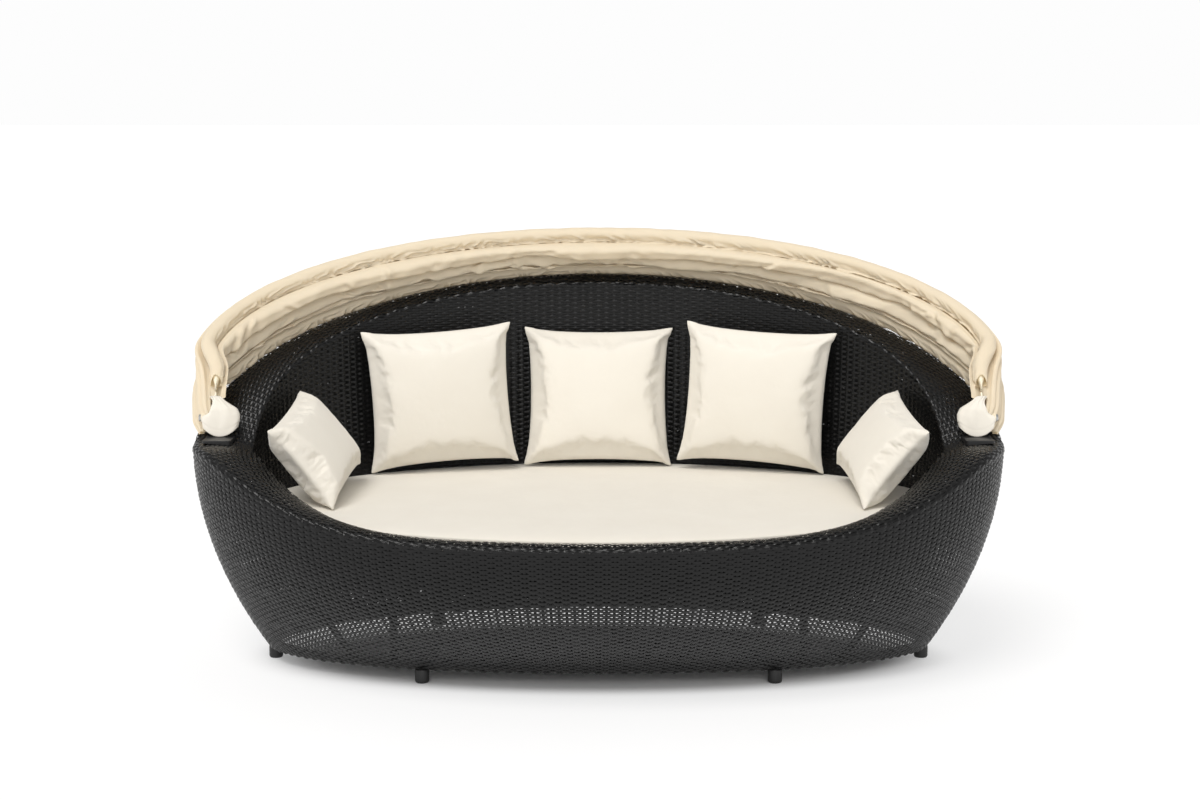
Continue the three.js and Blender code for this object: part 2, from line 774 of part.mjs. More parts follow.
function bowArcPoint(bow, angle) {
  const shoulder = frontShoulder * bowShoulderShares[bow];
  const out = shoulder + (bowReach - shoulder) * Math.sin(angle);
  const x = bowHalfWidth * Math.cos(angle);
  const point = bowPoint(bow, out, Math.abs(x));
  point.x *= Math.sign(x) || 1;
  return point;
}

// Angle of the arch at which a bow is that far out from the pivot line
function angleAt(bow, out) {
  const shoulder = frontShoulder * bowShoulderShares[bow];
  return Math.asin(Math.max(out - shoulder, 0) / (bowReach - shoulder));
}

function bowLegPoint(bow, out) {
  return bowPoint(bow, out, bowHalfWidth * Math.cos(angleAt(bow, out)));
}

const mirrorX = (point) => new THREE.Vector3(-point.x, point.y, point.z);

const archShares = range(bowSteps + 1).map((i) => i / bowSteps);

// Whole centre line: a leg, the arch, and the other leg. The cloth sleeve covers the arch.
function bowPath(bow) {
  const legs = range(legSteps).map((i) => (
    bowLegPoint(bow, blend(legStart, sleeveStart, i / legSteps))));
  const start = angleAt(bow, sleeveStart);
  const arch = archShares.map((share) => bowArcPoint(bow, blend(start, Math.PI - start, share)));
  return [...legs, ...arch, ...legs.map(mirrorX).reverse()];
}

// Flattened end of a bow: a strip with a round, drilled end on the pivot line
function tab(bow) {
  const tip = bowLegPoint(bow, legStart + tabOverlap);
  const lean = Math.atan2(tip.z - pivotZ, tip.y - pivotY);
  const tabLength = Math.hypot(tip.y - pivotY, tip.z - pivotZ);
  const shape = new THREE.Shape();
  shape.absarc(0, 0, tabHalfWidth, Math.PI / 2, 3 * Math.PI / 2, false);
  shape.lineTo(tabLength, -tabHalfWidth);
  shape.lineTo(tabLength, tabHalfWidth);
  const hole = new THREE.Path();
  hole.absarc(0, 0, boltRadius + seat, 0, 2 * Math.PI, true);
  shape.holes.push(hole);
  const geometry = new THREE.ExtrudeGeometry(shape,
    { depth: tabThickness, bevelEnabled: false, curveSegments: tabSteps });
  geometry.rotateZ(lean);
  geometry.applyMatrix4(new THREE.Matrix4().makeBasis(
    new THREE.Vector3(0, 1, 0), new THREE.Vector3(0, 0, 1), new THREE.Vector3(1, 0, 0)));
  geometry.translate(tabX(bow) - tabThickness / 2, pivotY, pivotZ);
  return geometry;
}

const bowNames = ['bow_rear', 'bow_second', 'bow_third', 'bow_front'];
bowNames.forEach((name, bow) => {
  const flat = toGeometry(toSolid(tab(bow)));
  piece(name, join(tube(bowPath(bow), bowRadius, bowSides, offward), flat, mirrored(flat)), bowCream);
});

// Part of a bow's path that its sleeve covers
const covered = (list) => list.slice(legSteps, list.length - legSteps);
const sleeveFrames = (bow) => covered(framesAlong(bowPath(bow), offward));

// Cloth sleeves round the bows: hollow, with open ends

function sleeve(bow, radius) {
  const outer = covered(tubeRings(bowPath(bow), radius, bowSides, offward));
  const inner = covered(tubeRings(bowPath(bow), radius - sleeveWall, bowSides, offward));
  const column = (rings, j) => rings.map((ring) => ring[j]);
  return loft(range(bowSides).map((j) => [...column(outer, j), ...column(inner, j).reverse()]), true);
}

const sleeveNames = ['sleeve_rear', 'sleeve_second', 'sleeve_third', 'sleeve_front'];
sleeveNames.forEach((name, bow) => piece(name, sleeve(bow, sleeveRadii[bow]), clothCream));

// Cloth gores, folded in between the bows: one fold inwards, one pass between two sleeves,
// and one fold outwards

// Section of a gore: distance out from the bows, and share of the way from one bow to the next
function goreLine(bow, fullness) {
  const inStart = -sleeveRadii[bow] - clothGap - clothThickness;
  const outEnd = sleeveRadii[bow + 1] + clothGap;
  const pass = (sleeveRadii[bow] + bowPitch - sleeveRadii[bow + 1]) / 2;
  const inner = inStart - innerFoldDepth * fullness;
  const outer = outEnd + outerFoldDepth * blend(outerEndShares[bow], 1, fullness);
  return [
    [inStart, -seamFlange / 2],
    [inStart, seamFlange / 2],
    [inner, pass - foldWidth - foldMouth],
    [inner, pass - foldMouth],
    [inStart, pass],
    [outEnd, pass],
    [outer, pass + foldMouth],
    [outer, pass + foldMouth + foldWidth],
    [outEnd, bowPitch - seamFlange / 2],
    [outEnd, bowPitch + seamFlange / 2],
  ];
}

function gore(bow) {
  const highFrames = sleeveFrames(bow + 1);
  return loft(sleeveFrames(bow).map((low, i) => {
    const high = highFrames[i];
    const line = goreLine(bow, blend(foldEndShare, 1, Math.sin(Math.PI * archShares[i])));
    const strip = [...line, ...offsetLine(line, clothThickness).reverse()];
    return strip.map(([across, off]) => low.point.clone().lerp(high.point, off / bowPitch)
      .addScaledVector(low.side.clone().lerp(high.side, off / bowPitch), across));
  }));
}

['canopy_gore_rear', 'canopy_gore_middle', 'canopy_gore_front'].forEach((name, bow) => {
  piece(name, gore(bow), clothCream);
});

// Hinge bracket on each arm: a foot plate shaped to the arm, an ear and a boss round the bolt

const earOutX = earInX + earThickness;
const bandTopLimit = armHeight + bandCrown + bracketFootThickness;

function roundBar(lowX, highX, radius) {
  const geometry = new THREE.CylinderGeometry(radius, radius, highX - lowX, boltSides);
  geometry.rotateZ(Math.PI / 2);
  geometry.translate((lowX + highX) / 2, pivotY, pivotZ);
  return geometry;
}

function bracket(turned) {
  const armUnder = armHeight - bandDrop;
  const plate = box(frontTabX - bracketFootReach, earOutX, bracketFootFrontY, bracketFootBackY,
    armUnder, bandTopLimit);
  const web = box(earInX, earOutX, bracketFootFrontY, pivotY + earHalfDepth, armUnder, pivotZ);
  const earTop = roundBar(earInX, earOutX, earHalfDepth);
  const boss = roundBar(earInX - bossLength, earInX + seat, bossRadius);
  const arm = ovalBody(bandSection(bandWidth(stations[0]), seat));
  const bore = roundBar(earInX - 2 * bossLength, earOutX + bossLength, boltRadius + seat);
  return cut(turned(cut(join(plate, web, earTop, boss), bore)), arm);
}

piece('pivot_bracket_right', bracket((body) => body), tubeBlack);
piece('pivot_bracket_left', bracket(mirrored), tubeBlack);

// Pivot bolt: head inside the front bow's end, nut outside the rear bow's end

function bolt() {
  const headX = frontTabX - tabThickness / 2 - seat;
  const nutX = tabX(0) + tabThickness / 2 + seat;
  return join(
    roundBar(headX - boltHeadLength, headX, boltHeadRadius),
    roundBar(headX - boltHeadLength / 2, nutX + boltHeadLength / 2, boltRadius),
    roundBar(nutX, nutX + boltHeadLength, boltHeadRadius));
}

const rightBolt = bolt();
piece('pivot_bolt_right', rightBolt, boltSteel);
piece('pivot_bolt_left', mirrored(rightBolt), boltSteel);

// Cloth boot over the end of the front bow: open at its hem, closed round the tube above

function boot() {
  const up = bowLegPoint(frontBow, bootLength).sub(new THREE.Vector3(frontTabX, pivotY, pivotZ));
  const along = new THREE.Vector3(0, up.y, up.z).normalize();
  const deep = new THREE.Vector3(0, -along.z, along.y);
  const wide = new THREE.Vector3(1, 0, 0);
  const neck = bowRadius + bootNeckGap;
  const ring = (k, wall) => {
    const reach = blend(-bootHem, bootLength, bootAlongShares[k]);
    const top = k === bootAlongShares.length - 1;
    const share = bootWidthShares[k];
    const width = (top ? neck + bootWall : bootHalfWidth * share) - wall;
    const depth = (top ? neck + bootWall : bootHalfDepth * blend(1, share, bootDepthShare)) - wall;
    const tubeAt = bowLegPoint(frontBow, Math.max(reach * along.dot(outward), 0));
    const pull = bootAlongShares[k] ** 3;
    const middle = new THREE.Vector3(blend(frontTabX - bootInset, tubeAt.x, pull), pivotY, pivotZ)
      .addScaledVector(along, reach);
    const drift = tubeAt.clone().sub(middle).dot(deep);
    middle.addScaledVector(deep, drift * pull);
    return range(bootSides).map((j) => {
      const turn = 2 * Math.PI * j / bootSides;
      return middle.clone().addScaledVector(wide, width * Math.cos(turn))
        .addScaledVector(deep, depth * Math.sin(turn));
    });
  };
  const keys = range(bootAlongShares.length);
  const outer = keys.map((k) => ring(k, 0));
  const inner = keys.map((k) => ring(k, bootWall));
  const column = (rings, j) => rings.map((points) => points[j]);
  const shell = loft(range(bootSides).map((j) => [...column(outer, j), ...column(inner, j).reverse()]), true);
  return cut(shell, roundBar(frontTabX + tabThickness / 2, earInX + earThickness, bootHoleRadius));
}

const rightBoot = boot();
piece('boot_right', rightBoot, clothCream);
piece('boot_left', mirrored(rightBoot), clothCream);

// The origin lies on the floor, under the middle of everything
const extent = new THREE.Box3().setFromObject(daybed);
daybed.position.set(-(extent.min.x + extent.max.x) / 2, -(extent.min.y + extent.max.y) / 2, 0);
daybed.updateMatrixWorld(true);

export default daybed;
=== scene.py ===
import math

import bpy
import numpy as np
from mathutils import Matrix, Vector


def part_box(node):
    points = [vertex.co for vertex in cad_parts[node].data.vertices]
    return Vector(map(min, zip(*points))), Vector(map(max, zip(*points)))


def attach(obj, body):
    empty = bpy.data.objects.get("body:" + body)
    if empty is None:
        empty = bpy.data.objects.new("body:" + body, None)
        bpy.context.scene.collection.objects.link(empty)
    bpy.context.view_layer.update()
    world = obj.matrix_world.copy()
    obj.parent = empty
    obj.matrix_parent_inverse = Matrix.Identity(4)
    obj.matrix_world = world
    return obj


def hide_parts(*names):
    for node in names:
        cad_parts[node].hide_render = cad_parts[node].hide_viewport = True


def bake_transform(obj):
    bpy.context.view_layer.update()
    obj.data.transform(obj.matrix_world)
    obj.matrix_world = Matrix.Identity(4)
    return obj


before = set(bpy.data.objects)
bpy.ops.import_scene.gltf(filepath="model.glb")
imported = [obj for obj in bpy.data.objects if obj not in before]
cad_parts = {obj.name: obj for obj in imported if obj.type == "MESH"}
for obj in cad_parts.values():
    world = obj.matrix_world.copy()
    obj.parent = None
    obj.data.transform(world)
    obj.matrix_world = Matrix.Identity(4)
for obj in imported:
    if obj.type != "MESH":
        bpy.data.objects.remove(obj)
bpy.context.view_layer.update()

# Studio: a long lens a little above the canopy, tipped slightly down, over a pale floor that runs
# out to a white surround. A broad high light from the front left gives the cloth its shape, a
# weaker low one lights the front, and the surround fills in the rest.

camera = bpy.data.objects.new("camera", bpy.data.cameras.new("camera"))
camera.location = (0, -5.8995, 1.595)
camera.rotation_euler = (math.radians(81.5), 0, 0)
camera.data.sensor_width = 36
camera.data.lens = 66.06
camera.data.shift_x = 0.00125
bpy.context.scene.collection.objects.link(camera)
bpy.context.scene.camera = camera
bpy.context.scene.view_settings.view_transform = "Standard"


def linear(colour):
    """An sRGB hex colour as linear red, green, blue and alpha."""
    parts = [int(colour[i:i + 2], 16) / 255 for i in (1, 3, 5)]
    return tuple(p / 12.92 if p <= 0.04045 else ((p + 0.055) / 1.055) ** 2.4 for p in parts) + (1,)


def add_node(tree, kind, settings=None, **links):
    """A new node. Settings are its properties; links are its sockets, by name or number, each
    given a value or another node's output."""
    node = tree.nodes.new(kind)
    for key, value in (settings or {}).items():
        setattr(node, key, value)
    for key, value in links.items():
        name = key.replace("_", " ")
        socket = node.inputs[int(name[1:])] if name[1:].isdigit() else node.inputs[name]
        if isinstance(value, bpy.types.NodeSocket):
            tree.links.new(value, socket)
        else:
            socket.default_value = value
    return node


def new_material(name, **surface):
    """A material with one Principled surface; its node tree, its shader and the object's own
    coordinates in it, in metres."""
    material = bpy.data.materials.new(name)
    material.use_nodes = True
    tree = material.node_tree
    shader = tree.nodes["Principled BSDF"]
    for key, value in surface.items():
        shader.inputs[key.replace("_", " ")].default_value = value
    return material, tree, shader, add_node(tree, "ShaderNodeTexCoord").outputs["Object"]


def two_tones(tree, shader, share, first, second):
    """Lets a surface's colour move between two tones."""
    tone = add_node(tree, "ShaderNodeMix", {"data_type": "RGBA"}, Factor=share, _6=linear(first),
                    _7=linear(second))
    tree.links.new(tone.outputs[2], shader.inputs["Base Color"])


surround = bpy.data.worlds.new("white_surround")
bpy.context.scene.world = surround
surround.use_nodes = True
sky = surround.node_tree
direction = add_node(sky, "ShaderNodeTexCoord").outputs["Generated"]
height = add_node(sky, "ShaderNodeSeparateXYZ", Vector=direction).outputs["Z"]
fade = add_node(sky, "ShaderNodeMapRange", {"interpolation_type": "SMOOTHSTEP"}, Value=height,
                From_Min=0.08, From_Max=0.45, To_Min=1.0, To_Max=0.5)
sky.nodes["Background"].inputs["Color"].default_value = linear("#fdfdfd")
sky.links.new(fade.outputs["Result"], sky.nodes["Background"].inputs["Strength"])

for name, energy, spread, tilt, lean in (("key_light", 1.85, 30, 27, -16),
                                         ("front_light", 0.73, 28, 62, 6)):
    light = bpy.data.lights.new(name, "SUN")
    light.energy = energy
    light.angle = math.radians(spread)
    light.color = linear("#fffdfb")[:3]
    lamp = bpy.data.objects.new(name, light)
    lamp.rotation_euler = (math.radians(tilt), math.radians(lean), 0)
    bpy.context.scene.collection.objects.link(lamp)


def mesh_piece(name, points, faces, material):
    """A smooth mesh object from points and faces, in metres."""
    mesh = bpy.data.meshes.new(name)
    faces = faces.tolist() if isinstance(faces, np.ndarray) else faces
    mesh.from_pydata(np.asarray(points, float).reshape(-1, 3).tolist(), [], faces)
    mesh.materials.append(material)
    mesh.shade_smooth()
    piece = bpy.data.objects.new(name, mesh)
    bpy.context.scene.collection.objects.link(piece)
    return piece


glowing_floor, tree, shader, place = new_material("glowing_floor", Roughness=0.85,
                                                  Specular_IOR_Level=0.2,
                                                  Emission_Color=linear("#ffffff"))
# Painted light: outside an oval round where the object stands the floor glows and its colour darkens by
# about as much, so it looks the same in open light but the shadow cast on it stays pale
scaled = add_node(tree, "ShaderNodeVectorMath", {"operation": "MULTIPLY"}, _0=place, _1=(0.85, 2.1, 1.0))
distance = add_node(tree, "ShaderNodeVectorMath", {"operation": "LENGTH"}, _0=scaled.outputs["Vector"])
painted_glow = add_node(tree, "ShaderNodeMapRange", {"interpolation_type": "SMOOTHSTEP"},
               Value=distance.outputs["Value"], From_Min=0.64, From_Max=0.86, To_Min=0.0, To_Max=0.66)
# Painted light: the darker colour and the glow beyond the oval fill in the object's shadow
two_tones(tree, shader, painted_glow.outputs["Result"], "#fafafa", "#202020")
tree.links.new(painted_glow.outputs["Result"], shader.inputs["Emission Strength"])
half_floor = 60
floor = mesh_piece("floor", [(-half_floor, -half_floor, 0), (half_floor, -half_floor, 0),
                             (half_floor, half_floor, 0), (-half_floor, half_floor, 0)],
                   [(0, 1, 2, 3)], glowing_floor)

# Woven body: strands of black extruded polyethylene, each about 6 mm wide and slightly crowned,
# run round the body in rows, over one upright stake and under the next. Every strand and stake
# is real here, so daylight shows through the small holes beside the stakes.

half_width = 1.095
half_depth = 0.640
shell_low, shell_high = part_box("outer_shell")
body_middle_y = (shell_low.y + shell_high.y) / 2
arm_height = 0.606
back_rise = 0.394
front_dip = 0.159
# Shares of the half depth: half the stretch in which the rim starts to climb towards the back, and
# the start and the length of the dip in the front
climb_ease, dip_start, dip_reach = 0.06, 0.3, 0.65
skin_bottom = 0.040
half_skin = 0.003
strand_rise = 0.0015
strand_crown = 0.0010
strand_cover = 1.1
crossing_cover = 0.985
loose_cover = 0.97
stake_width = 0.0074
# Where a strand bends over a stake and lies level again, in stakes from it
bend_places = (-0.27, 0.27, 0.5)
height_spread, cover_spread, row_wander = 0.18, 0.02, 0.07
rng = np.random.default_rng(7)


def around(turn, side, back, front):
    """A size that differs between the sides, the back and the front of the oval."""
    c, s = np.cos(turn), np.sin(turn)
    return side * c ** 2 + np.where(s > 0, back, front) * s ** 2


def smooth(value):
    """A soft step from 0 to 1, as the value goes from 0 to 1."""
    t = np.clip(value, 0, 1)
    return t * t * (3 - 2 * t)


def rim_height(turn):
    """Height of the rim: level at the arms, high at the back and low in the front."""
    s = np.sin(turn)
    climb = np.where(s >= climb_ease, s,
                     np.where(s <= -climb_ease, 0, (s + climb_ease) ** 2 / (4 * climb_ease)))
    return arm_height + back_rise * climb - front_dip * smooth((-s - dip_start) / dip_reach)


def on_oval(turn, inward, height):
    """Points a distance in from the rim's edge, square to it, at a height."""
    c, s = np.cos(turn), np.sin(turn)
    out_x, out_y = half_depth * c, half_width * s
    size = np.hypot(out_x, out_y)
    return np.stack(np.broadcast_arrays(half_width * c - out_x / size * inward,
                                        body_middle_y + half_depth * s - out_y / size * inward,
                                        height), -1)


def even_turns(count):
    """Turns of stakes set at equal distances along the rim, from the right-hand end."""
    fine = np.linspace(0, 2 * math.pi, 4001)
    steps = np.hypot(half_width * np.sin(fine), half_depth * np.cos(fine))
    length = np.concatenate([[0], np.cumsum((steps[1:] + steps[:-1]) / 2)])
    return np.interp(np.arange(count) / count * length[-1], length, fine)


def surface_frames(place, turn, v):
    """Points of a surface with their outward normals and their directions across the rows."""
    small_turn, small_v = 1e-4, 1e-5
    point = place(turn, v)
    along = (place(turn + small_turn, v) - place(turn - small_turn, v)) / (2 * small_turn)
    across = (place(turn, v + small_v) - place(turn, v - small_v)) / (2 * small_v)
    normal = np.cross(along, across)
    normal /= np.linalg.norm(normal, axis=-1, keepdims=True)
    return point, normal, across


def ribbon_mesh(name, centre, normal, side, valid, looped, material):
    """Crowned ribbons, three points wide. Arrays are ribbon by sample; side is half a ribbon's
    width, and a ribbon is left out where it isn't valid."""
    edge_a, edge_b = centre - side, centre + side
    crown = centre + normal * strand_crown
    grid = np.stack([edge_a, crown, edge_b], 2)
    ribbons, samples = centre.shape[:2]
    number = np.arange(ribbons * samples * 3).reshape(ribbons, samples, 3)
    after = np.roll(number, -1, 1)
    both = valid & np.roll(valid, -1, 1)
    if not looped:
        both[:, -1] = False
    quads = [np.stack([number[..., k], after[..., k], after[..., k + 1], number[..., k + 1]], -1)[both]
             for k in (0, 1)]
    quads = np.concatenate(quads)
    used, quads = np.unique(quads, return_inverse=True)
    return mesh_piece(name, grid.reshape(-1, 3)[used], quads.reshape(-1, 4), material)


def weave(node, name, place, stakes, rows, top_of, inward_facing, loose=(0, 0)):
    """Strands along the rows and stakes across them, as two pieces that stand for a solid. Between
    the two loose levels the strands draw in a little at the stakes, and leave larger holes."""
    facing = -1 if inward_facing else 1
    count, pitch = len(stakes), rows[1] - rows[0]
    loop = np.concatenate([stakes, [stakes[0] + 2 * math.pi]])
    where = (np.arange(count)[:, None] + bend_places).ravel()
    turn = np.interp(np.mod(where, count), np.arange(count + 1), loop)
    lift = np.tile([1.0, 1.0, 0.0], count)
    stake = np.repeat(np.arange(count), 3)
    row = np.arange(len(rows))[:, None]
    over = np.where((row + stake) % 2 == 0, 1.0, -1.0) * lift
    over = over * (1 + height_spread * rng.standard_normal((len(rows), count)).repeat(3, 1))
    wander = row_wander * pitch * np.sin(3 * turn + rng.uniform(0, 6.3, (len(rows), 1)))
    v = rows[:, None] + wander
    turn = np.broadcast_to(turn, v.shape)
    point, normal, across = surface_frames(place, turn, v)
    normal = normal * facing
    cover = np.tile([strand_cover, strand_cover, crossing_cover], count)
    cover = cover * (1 + cover_spread * rng.standard_normal((len(rows), 1)))
    opened = (rows > loose[0]) & (rows < loose[1])
    cover = np.where(opened[:, None], cover * loose_cover, cover)
    side = across * (pitch / 2 * cover)[..., None]
    centre = point + normal * (strand_rise * over)[..., None]
    valid = v < top_of(turn)
    strands = ribbon_mesh(name + "_strands", centre, normal, side, valid, True, woven_polyethylene)

    steps = rows[::2]
    turn = np.broadcast_to(stakes[:, None], (count, len(steps)))
    v = np.broadcast_to(steps, turn.shape)
    point, normal, across = surface_frames(place, turn, v)
    normal = normal * facing
    side = np.cross(normal, across)
    side *= stake_width / 2 / np.linalg.norm(side, axis=-1, keepdims=True)
    uprights = ribbon_mesh(name + "_stakes", point, normal, side, v < top_of(turn), False,
                           woven_polyethylene)
    for piece in (strands, uprights):
        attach(piece, "root")
    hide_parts(node)


woven_polyethylene, tree, shader, place = new_material("woven_polyethylene",
                                                       Specular_IOR_Level=0.26)
# The shade of the strands wanders a little over about 60 mm, and their gloss every millimetre
batch = add_node(tree, "ShaderNodeTexNoise", Vector=place, Scale=16.0, Detail=3.0)
two_tones(tree, shader, batch.outputs["Fac"], "#0a0a0a", "#161616")
specks = add_node(tree, "ShaderNodeTexNoise", Vector=place, Scale=900.0, Detail=2.0)
gloss = add_node(tree, "ShaderNodeMapRange", Value=specks.outputs["Fac"], To_Min=0.2, To_Max=0.34)
tree.links.new(gloss.outputs["Result"], shader.inputs["Roughness"])

# Outer shell: rows 6.45 mm apart at level heights, stakes about 20 mm apart at the rim, flared
# from the small base out to the rim.

wall_top_gap = 0.014
shell_row_pitch = 0.00645
shell_stakes = 272
# How far the base lies in from the rim, and how sharply the wall turns out to it, at the sides,
# the back and the front; then the levels between which the weave is looser
flare_insets, flare_powers = (0.192102, 0.2, 0.324969), (2, 4.5, 2)
loose_levels = (0.205, 0.29)


def shell_place(turn, height):
    """Points of the outer shell at a height."""
    top = rim_height(turn)
    flare = around(turn, *flare_insets)
    power = around(turn, *flare_powers)
    rise = np.clip((height - skin_bottom) / (top - skin_bottom), 0, 1.2)
    return on_oval(turn, flare * np.clip(1 - rise, 0, 1) ** power + half_skin, height)


shell_rows = np.arange(skin_bottom + half_skin, arm_height + back_rise, shell_row_pitch)
weave("outer_shell", "outer_shell", shell_place, even_turns(shell_stakes), shell_rows,
      lambda turn: rim_height(turn) - wall_top_gap, False, loose=loose_levels)

# Rim band: the rows run along the rim. The strands roll over the outer edge, cross the broad
# arm, and roll down again into the bowl.

band_row_pitch = 0.0069
arm_width, narrow_width = 0.160, 0.068
most_band_length = 0.19
outer_roll = 0.015
inner_roll = 0.010
band_drop = 0.015
band_crown = 0.008


def band_width(turn):
    return around(turn, arm_width, narrow_width, narrow_width)


def band_length(turn):
    """Length of the band's section, over both rolls."""
    return (outer_roll + inner_roll) * math.pi / 2 + band_width(turn) - outer_roll - inner_roll


def band_place(turn, v):
    """Points of the rim band, that far along its section from the outer edge."""
    top, width = rim_height(turn), band_width(turn)
    first = outer_roll * math.pi / 2
    flat = width - outer_roll - inner_roll
    angle = np.clip(v / outer_roll, -0.3, math.pi / 2)
    share = np.clip((v - first) / flat, 0, 1)
    last = np.clip((v - first - flat) / inner_roll, 0, math.pi / 2)
    rolled = v < first
    turned = v > first + flat
    crowned = top - band_drop * share + band_crown * 4 * share * (1 - share)
    inward = np.where(rolled, outer_roll * (1 - np.cos(angle)),
                      np.where(turned, width - inner_roll * (1 - np.sin(last)), outer_roll + flat * share))
    height = np.where(rolled, top - outer_roll * (1 - np.sin(angle)),
                      np.where(turned, top - band_drop - inner_roll * (1 - np.cos(last)), crowned))
    return on_oval(turn, inward + half_skin / 2, height - half_skin / 2)


band_rows = np.arange(0, most_band_length, band_row_pitch)
weave("rim_cap", "rim_band", band_place, even_turns(shell_stakes), band_rows, band_length, False)

# Inner bowl: the inside of the backrest, arms and front, woven a little coarser and facing in.

bowl_foot = 0.333
bowl_top_gap = 0.0213
# How far the foot of the bowl lies in from its top at the sides, the back and the front
bowl_leans = (0.045, 0.037, 0.009)
bowl_row_pitch = 0.00725
bowl_stakes = 236


def bowl_place(turn, height):
    """Points of the inner bowl at a height."""
    lean = around(turn, *bowl_leans)
    top = rim_height(turn) - bowl_top_gap
    rise = np.clip((height - bowl_foot) / (top - bowl_foot), 0, 1)
    return on_oval(turn, band_width(turn) + lean * (1 - rise) ** 2 - half_skin, height)


bowl_rows = np.arange(bowl_foot + half_skin, arm_height + back_rise, bowl_row_pitch)
weave("inner_bowl", "inner_bowl", bowl_place, even_turns(bowl_stakes), bowl_rows,
      lambda turn: rim_height(turn) - band_drop - inner_roll, True)

# Frame: welded steel tube, powder coated black, that carries the weave. It only shows as
# shadow through the holes and from below, where the slats and posts hold the seat.


def fine_relief(tree, shader, place, scale, detail, strength, distance):
    """Gives a surface a fine even grain."""
    grain = add_node(tree, "ShaderNodeTexNoise", Vector=place, Scale=scale, Detail=detail)
    bump = add_node(tree, "ShaderNodeBump", Height=grain.outputs["Fac"], Strength=strength,
                    Distance=distance)
    tree.links.new(bump.outputs["Normal"], shader.inputs["Normal"])


powder_coated_black, tree, shader, place = new_material("powder_coated_black_steel", Roughness=0.45,
                                                        Base_Color=linear("#1b1b1c"))
# The baked powder leaves a fine orange peel, about 2 mm from crest to crest
fine_relief(tree, shader, place, 450.0, 1.0, 0.15, 0.0004)


def dress(prefixes, material):
    """Gives the CAD nodes whose names start so a finish."""
    for name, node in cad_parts.items():
        if name.startswith(prefixes):
            node.data.materials.clear()
            node.data.materials.append(material)


dress(("base_ring", "outer_rim_tube", "inner_rim_tube", "seat_ring", "outer_rib", "inner_rib",
       "seat_slat", "seat_post"), powder_coated_black)
dress(("seat_deck",), woven_polyethylene)

# Feet: round plugs moulded in black nylon, with a softened lower edge

moulded_nylon, tree, shader, place = new_material("moulded_nylon", Roughness=0.5,
                                                  Base_Color=linear("#151515"))
fine_relief(tree, shader, place, 1200.0, 2.0, 0.2, 0.0003)
foot_profile = [(0, 0), (0.012, 0), (0.0165, 0.0012), (0.0185, 0.004), (0.019, 0.008),
                (0.019, 0.030), (0.0182, 0.034), (0.0182, 0.038), (0, 0.038)]
foot_sides = 32


def grid_faces(rows, columns, looped=False):
    """Quads of a grid of points; looped joins its last column to its first."""
    i, j = np.meshgrid(np.arange(rows - 1), np.arange(columns - (0 if looped else 1)), indexing="ij")
    k = (j + 1) % columns
    return np.stack([i * columns + j, (i + 1) * columns + j, (i + 1) * columns + k,
                     i * columns + k], -1).reshape(-1, 4)


# Reads a quad the other way round, from the same corner
backwards = [0, 3, 2, 1]


def lathed(name, profile, sides, material):
    """A turned solid from (radius, height) points that start and end on its axis."""
    rings = profile[1:-1]
    points = [(r * math.cos(2 * math.pi * k / sides), r * math.sin(2 * math.pi * k / sides), z)
              for r, z in rings for k in range(sides)]
    points += [(0, 0, profile[0][1]), (0, 0, profile[-1][1])]
    faces = grid_faces(len(rings), sides, True)[:, backwards].tolist()
    last = (len(rings) - 1) * sides
    for k in range(sides):
        m = (k + 1) % sides
        faces += [(len(points) - 2, m, k), (len(points) - 1, last + k, last + m)]
    return mesh_piece(name, points, faces, material)


for name in [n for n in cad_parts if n.startswith("foot_")]:
    low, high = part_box(name)
    plug = lathed(name + "_plug", foot_profile, foot_sides, moulded_nylon)
    plug.location = ((low.x + high.x) / 2, (low.y + high.y) / 2, 0)
    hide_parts(name)
    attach(plug, "root")

# Mattress: one oval foam slab that fills the bowl, in a fitted cover of cream acrylic canvas.
# The cover is soft matt cloth: two panels and a boxing strip, sewn round both edges.

acrylic_canvas, tree, shader, place = new_material("acrylic_canvas", Roughness=0.92, IOR=1.45,
                                                   Sheen_Weight=0.25, Sheen_Roughness=0.5,
                                                   Specular_IOR_Level=0.25)
# Shade wanders softly over the cloth; the real 0.5 mm threads are drawn 1.5 mm wide so they show
cloud = add_node(tree, "ShaderNodeTexNoise", Vector=place, Scale=9.0, Detail=3.0)
two_tones(tree, shader, cloud.outputs["Fac"], "#dcd6ca", "#e2ddd2")
threads = add_node(tree, "ShaderNodeTexNoise", Vector=place, Scale=650.0, Detail=3.0)
ripple = add_node(tree, "ShaderNodeTexNoise", Vector=place, Scale=26.0, Detail=2.0)
soft = add_node(tree, "ShaderNodeBump", Height=ripple.outputs["Fac"], Strength=0.35, Distance=0.004)
weft = add_node(tree, "ShaderNodeBump", Height=threads.outputs["Fac"], Strength=0.3, Distance=0.0006,
                Normal=soft.outputs["Normal"])
tree.links.new(weft.outputs["Normal"], shader.inputs["Normal"])

mattress_clearance = 0.006
mattress_turns = np.linspace(0, 2 * math.pi, 240, endpoint=False)
mattress_side = [(0.030, 0.3333), (0.014, 0.3333), (0.006, 0.3345), (0.0015, 0.338), (0.0022, 0.3395),
                 (0.0002, 0.343), (0.001, 0.352), (0.004, 0.370), (0.006, 0.390), (0.004, 0.412),
                 (0.0012, 0.430), (0.0003, 0.4365), (0.0024, 0.4395), (0.0014, 0.4412), (0.0035, 0.4445),
                 (0.007, 0.4462)]
mattress_crown = [(0.012, 0.4478), (0.03, 0.4500), (0.06, 0.4522), (0.1, 0.4538), (0.16, 0.4547),
                  (0.24, 0.455), (0.33, 0.455), (0.43, 0.455), (0.54, 0.455), (0.66, 0.455), (0.8, 0.455),
                  (0.93, 0.455)]


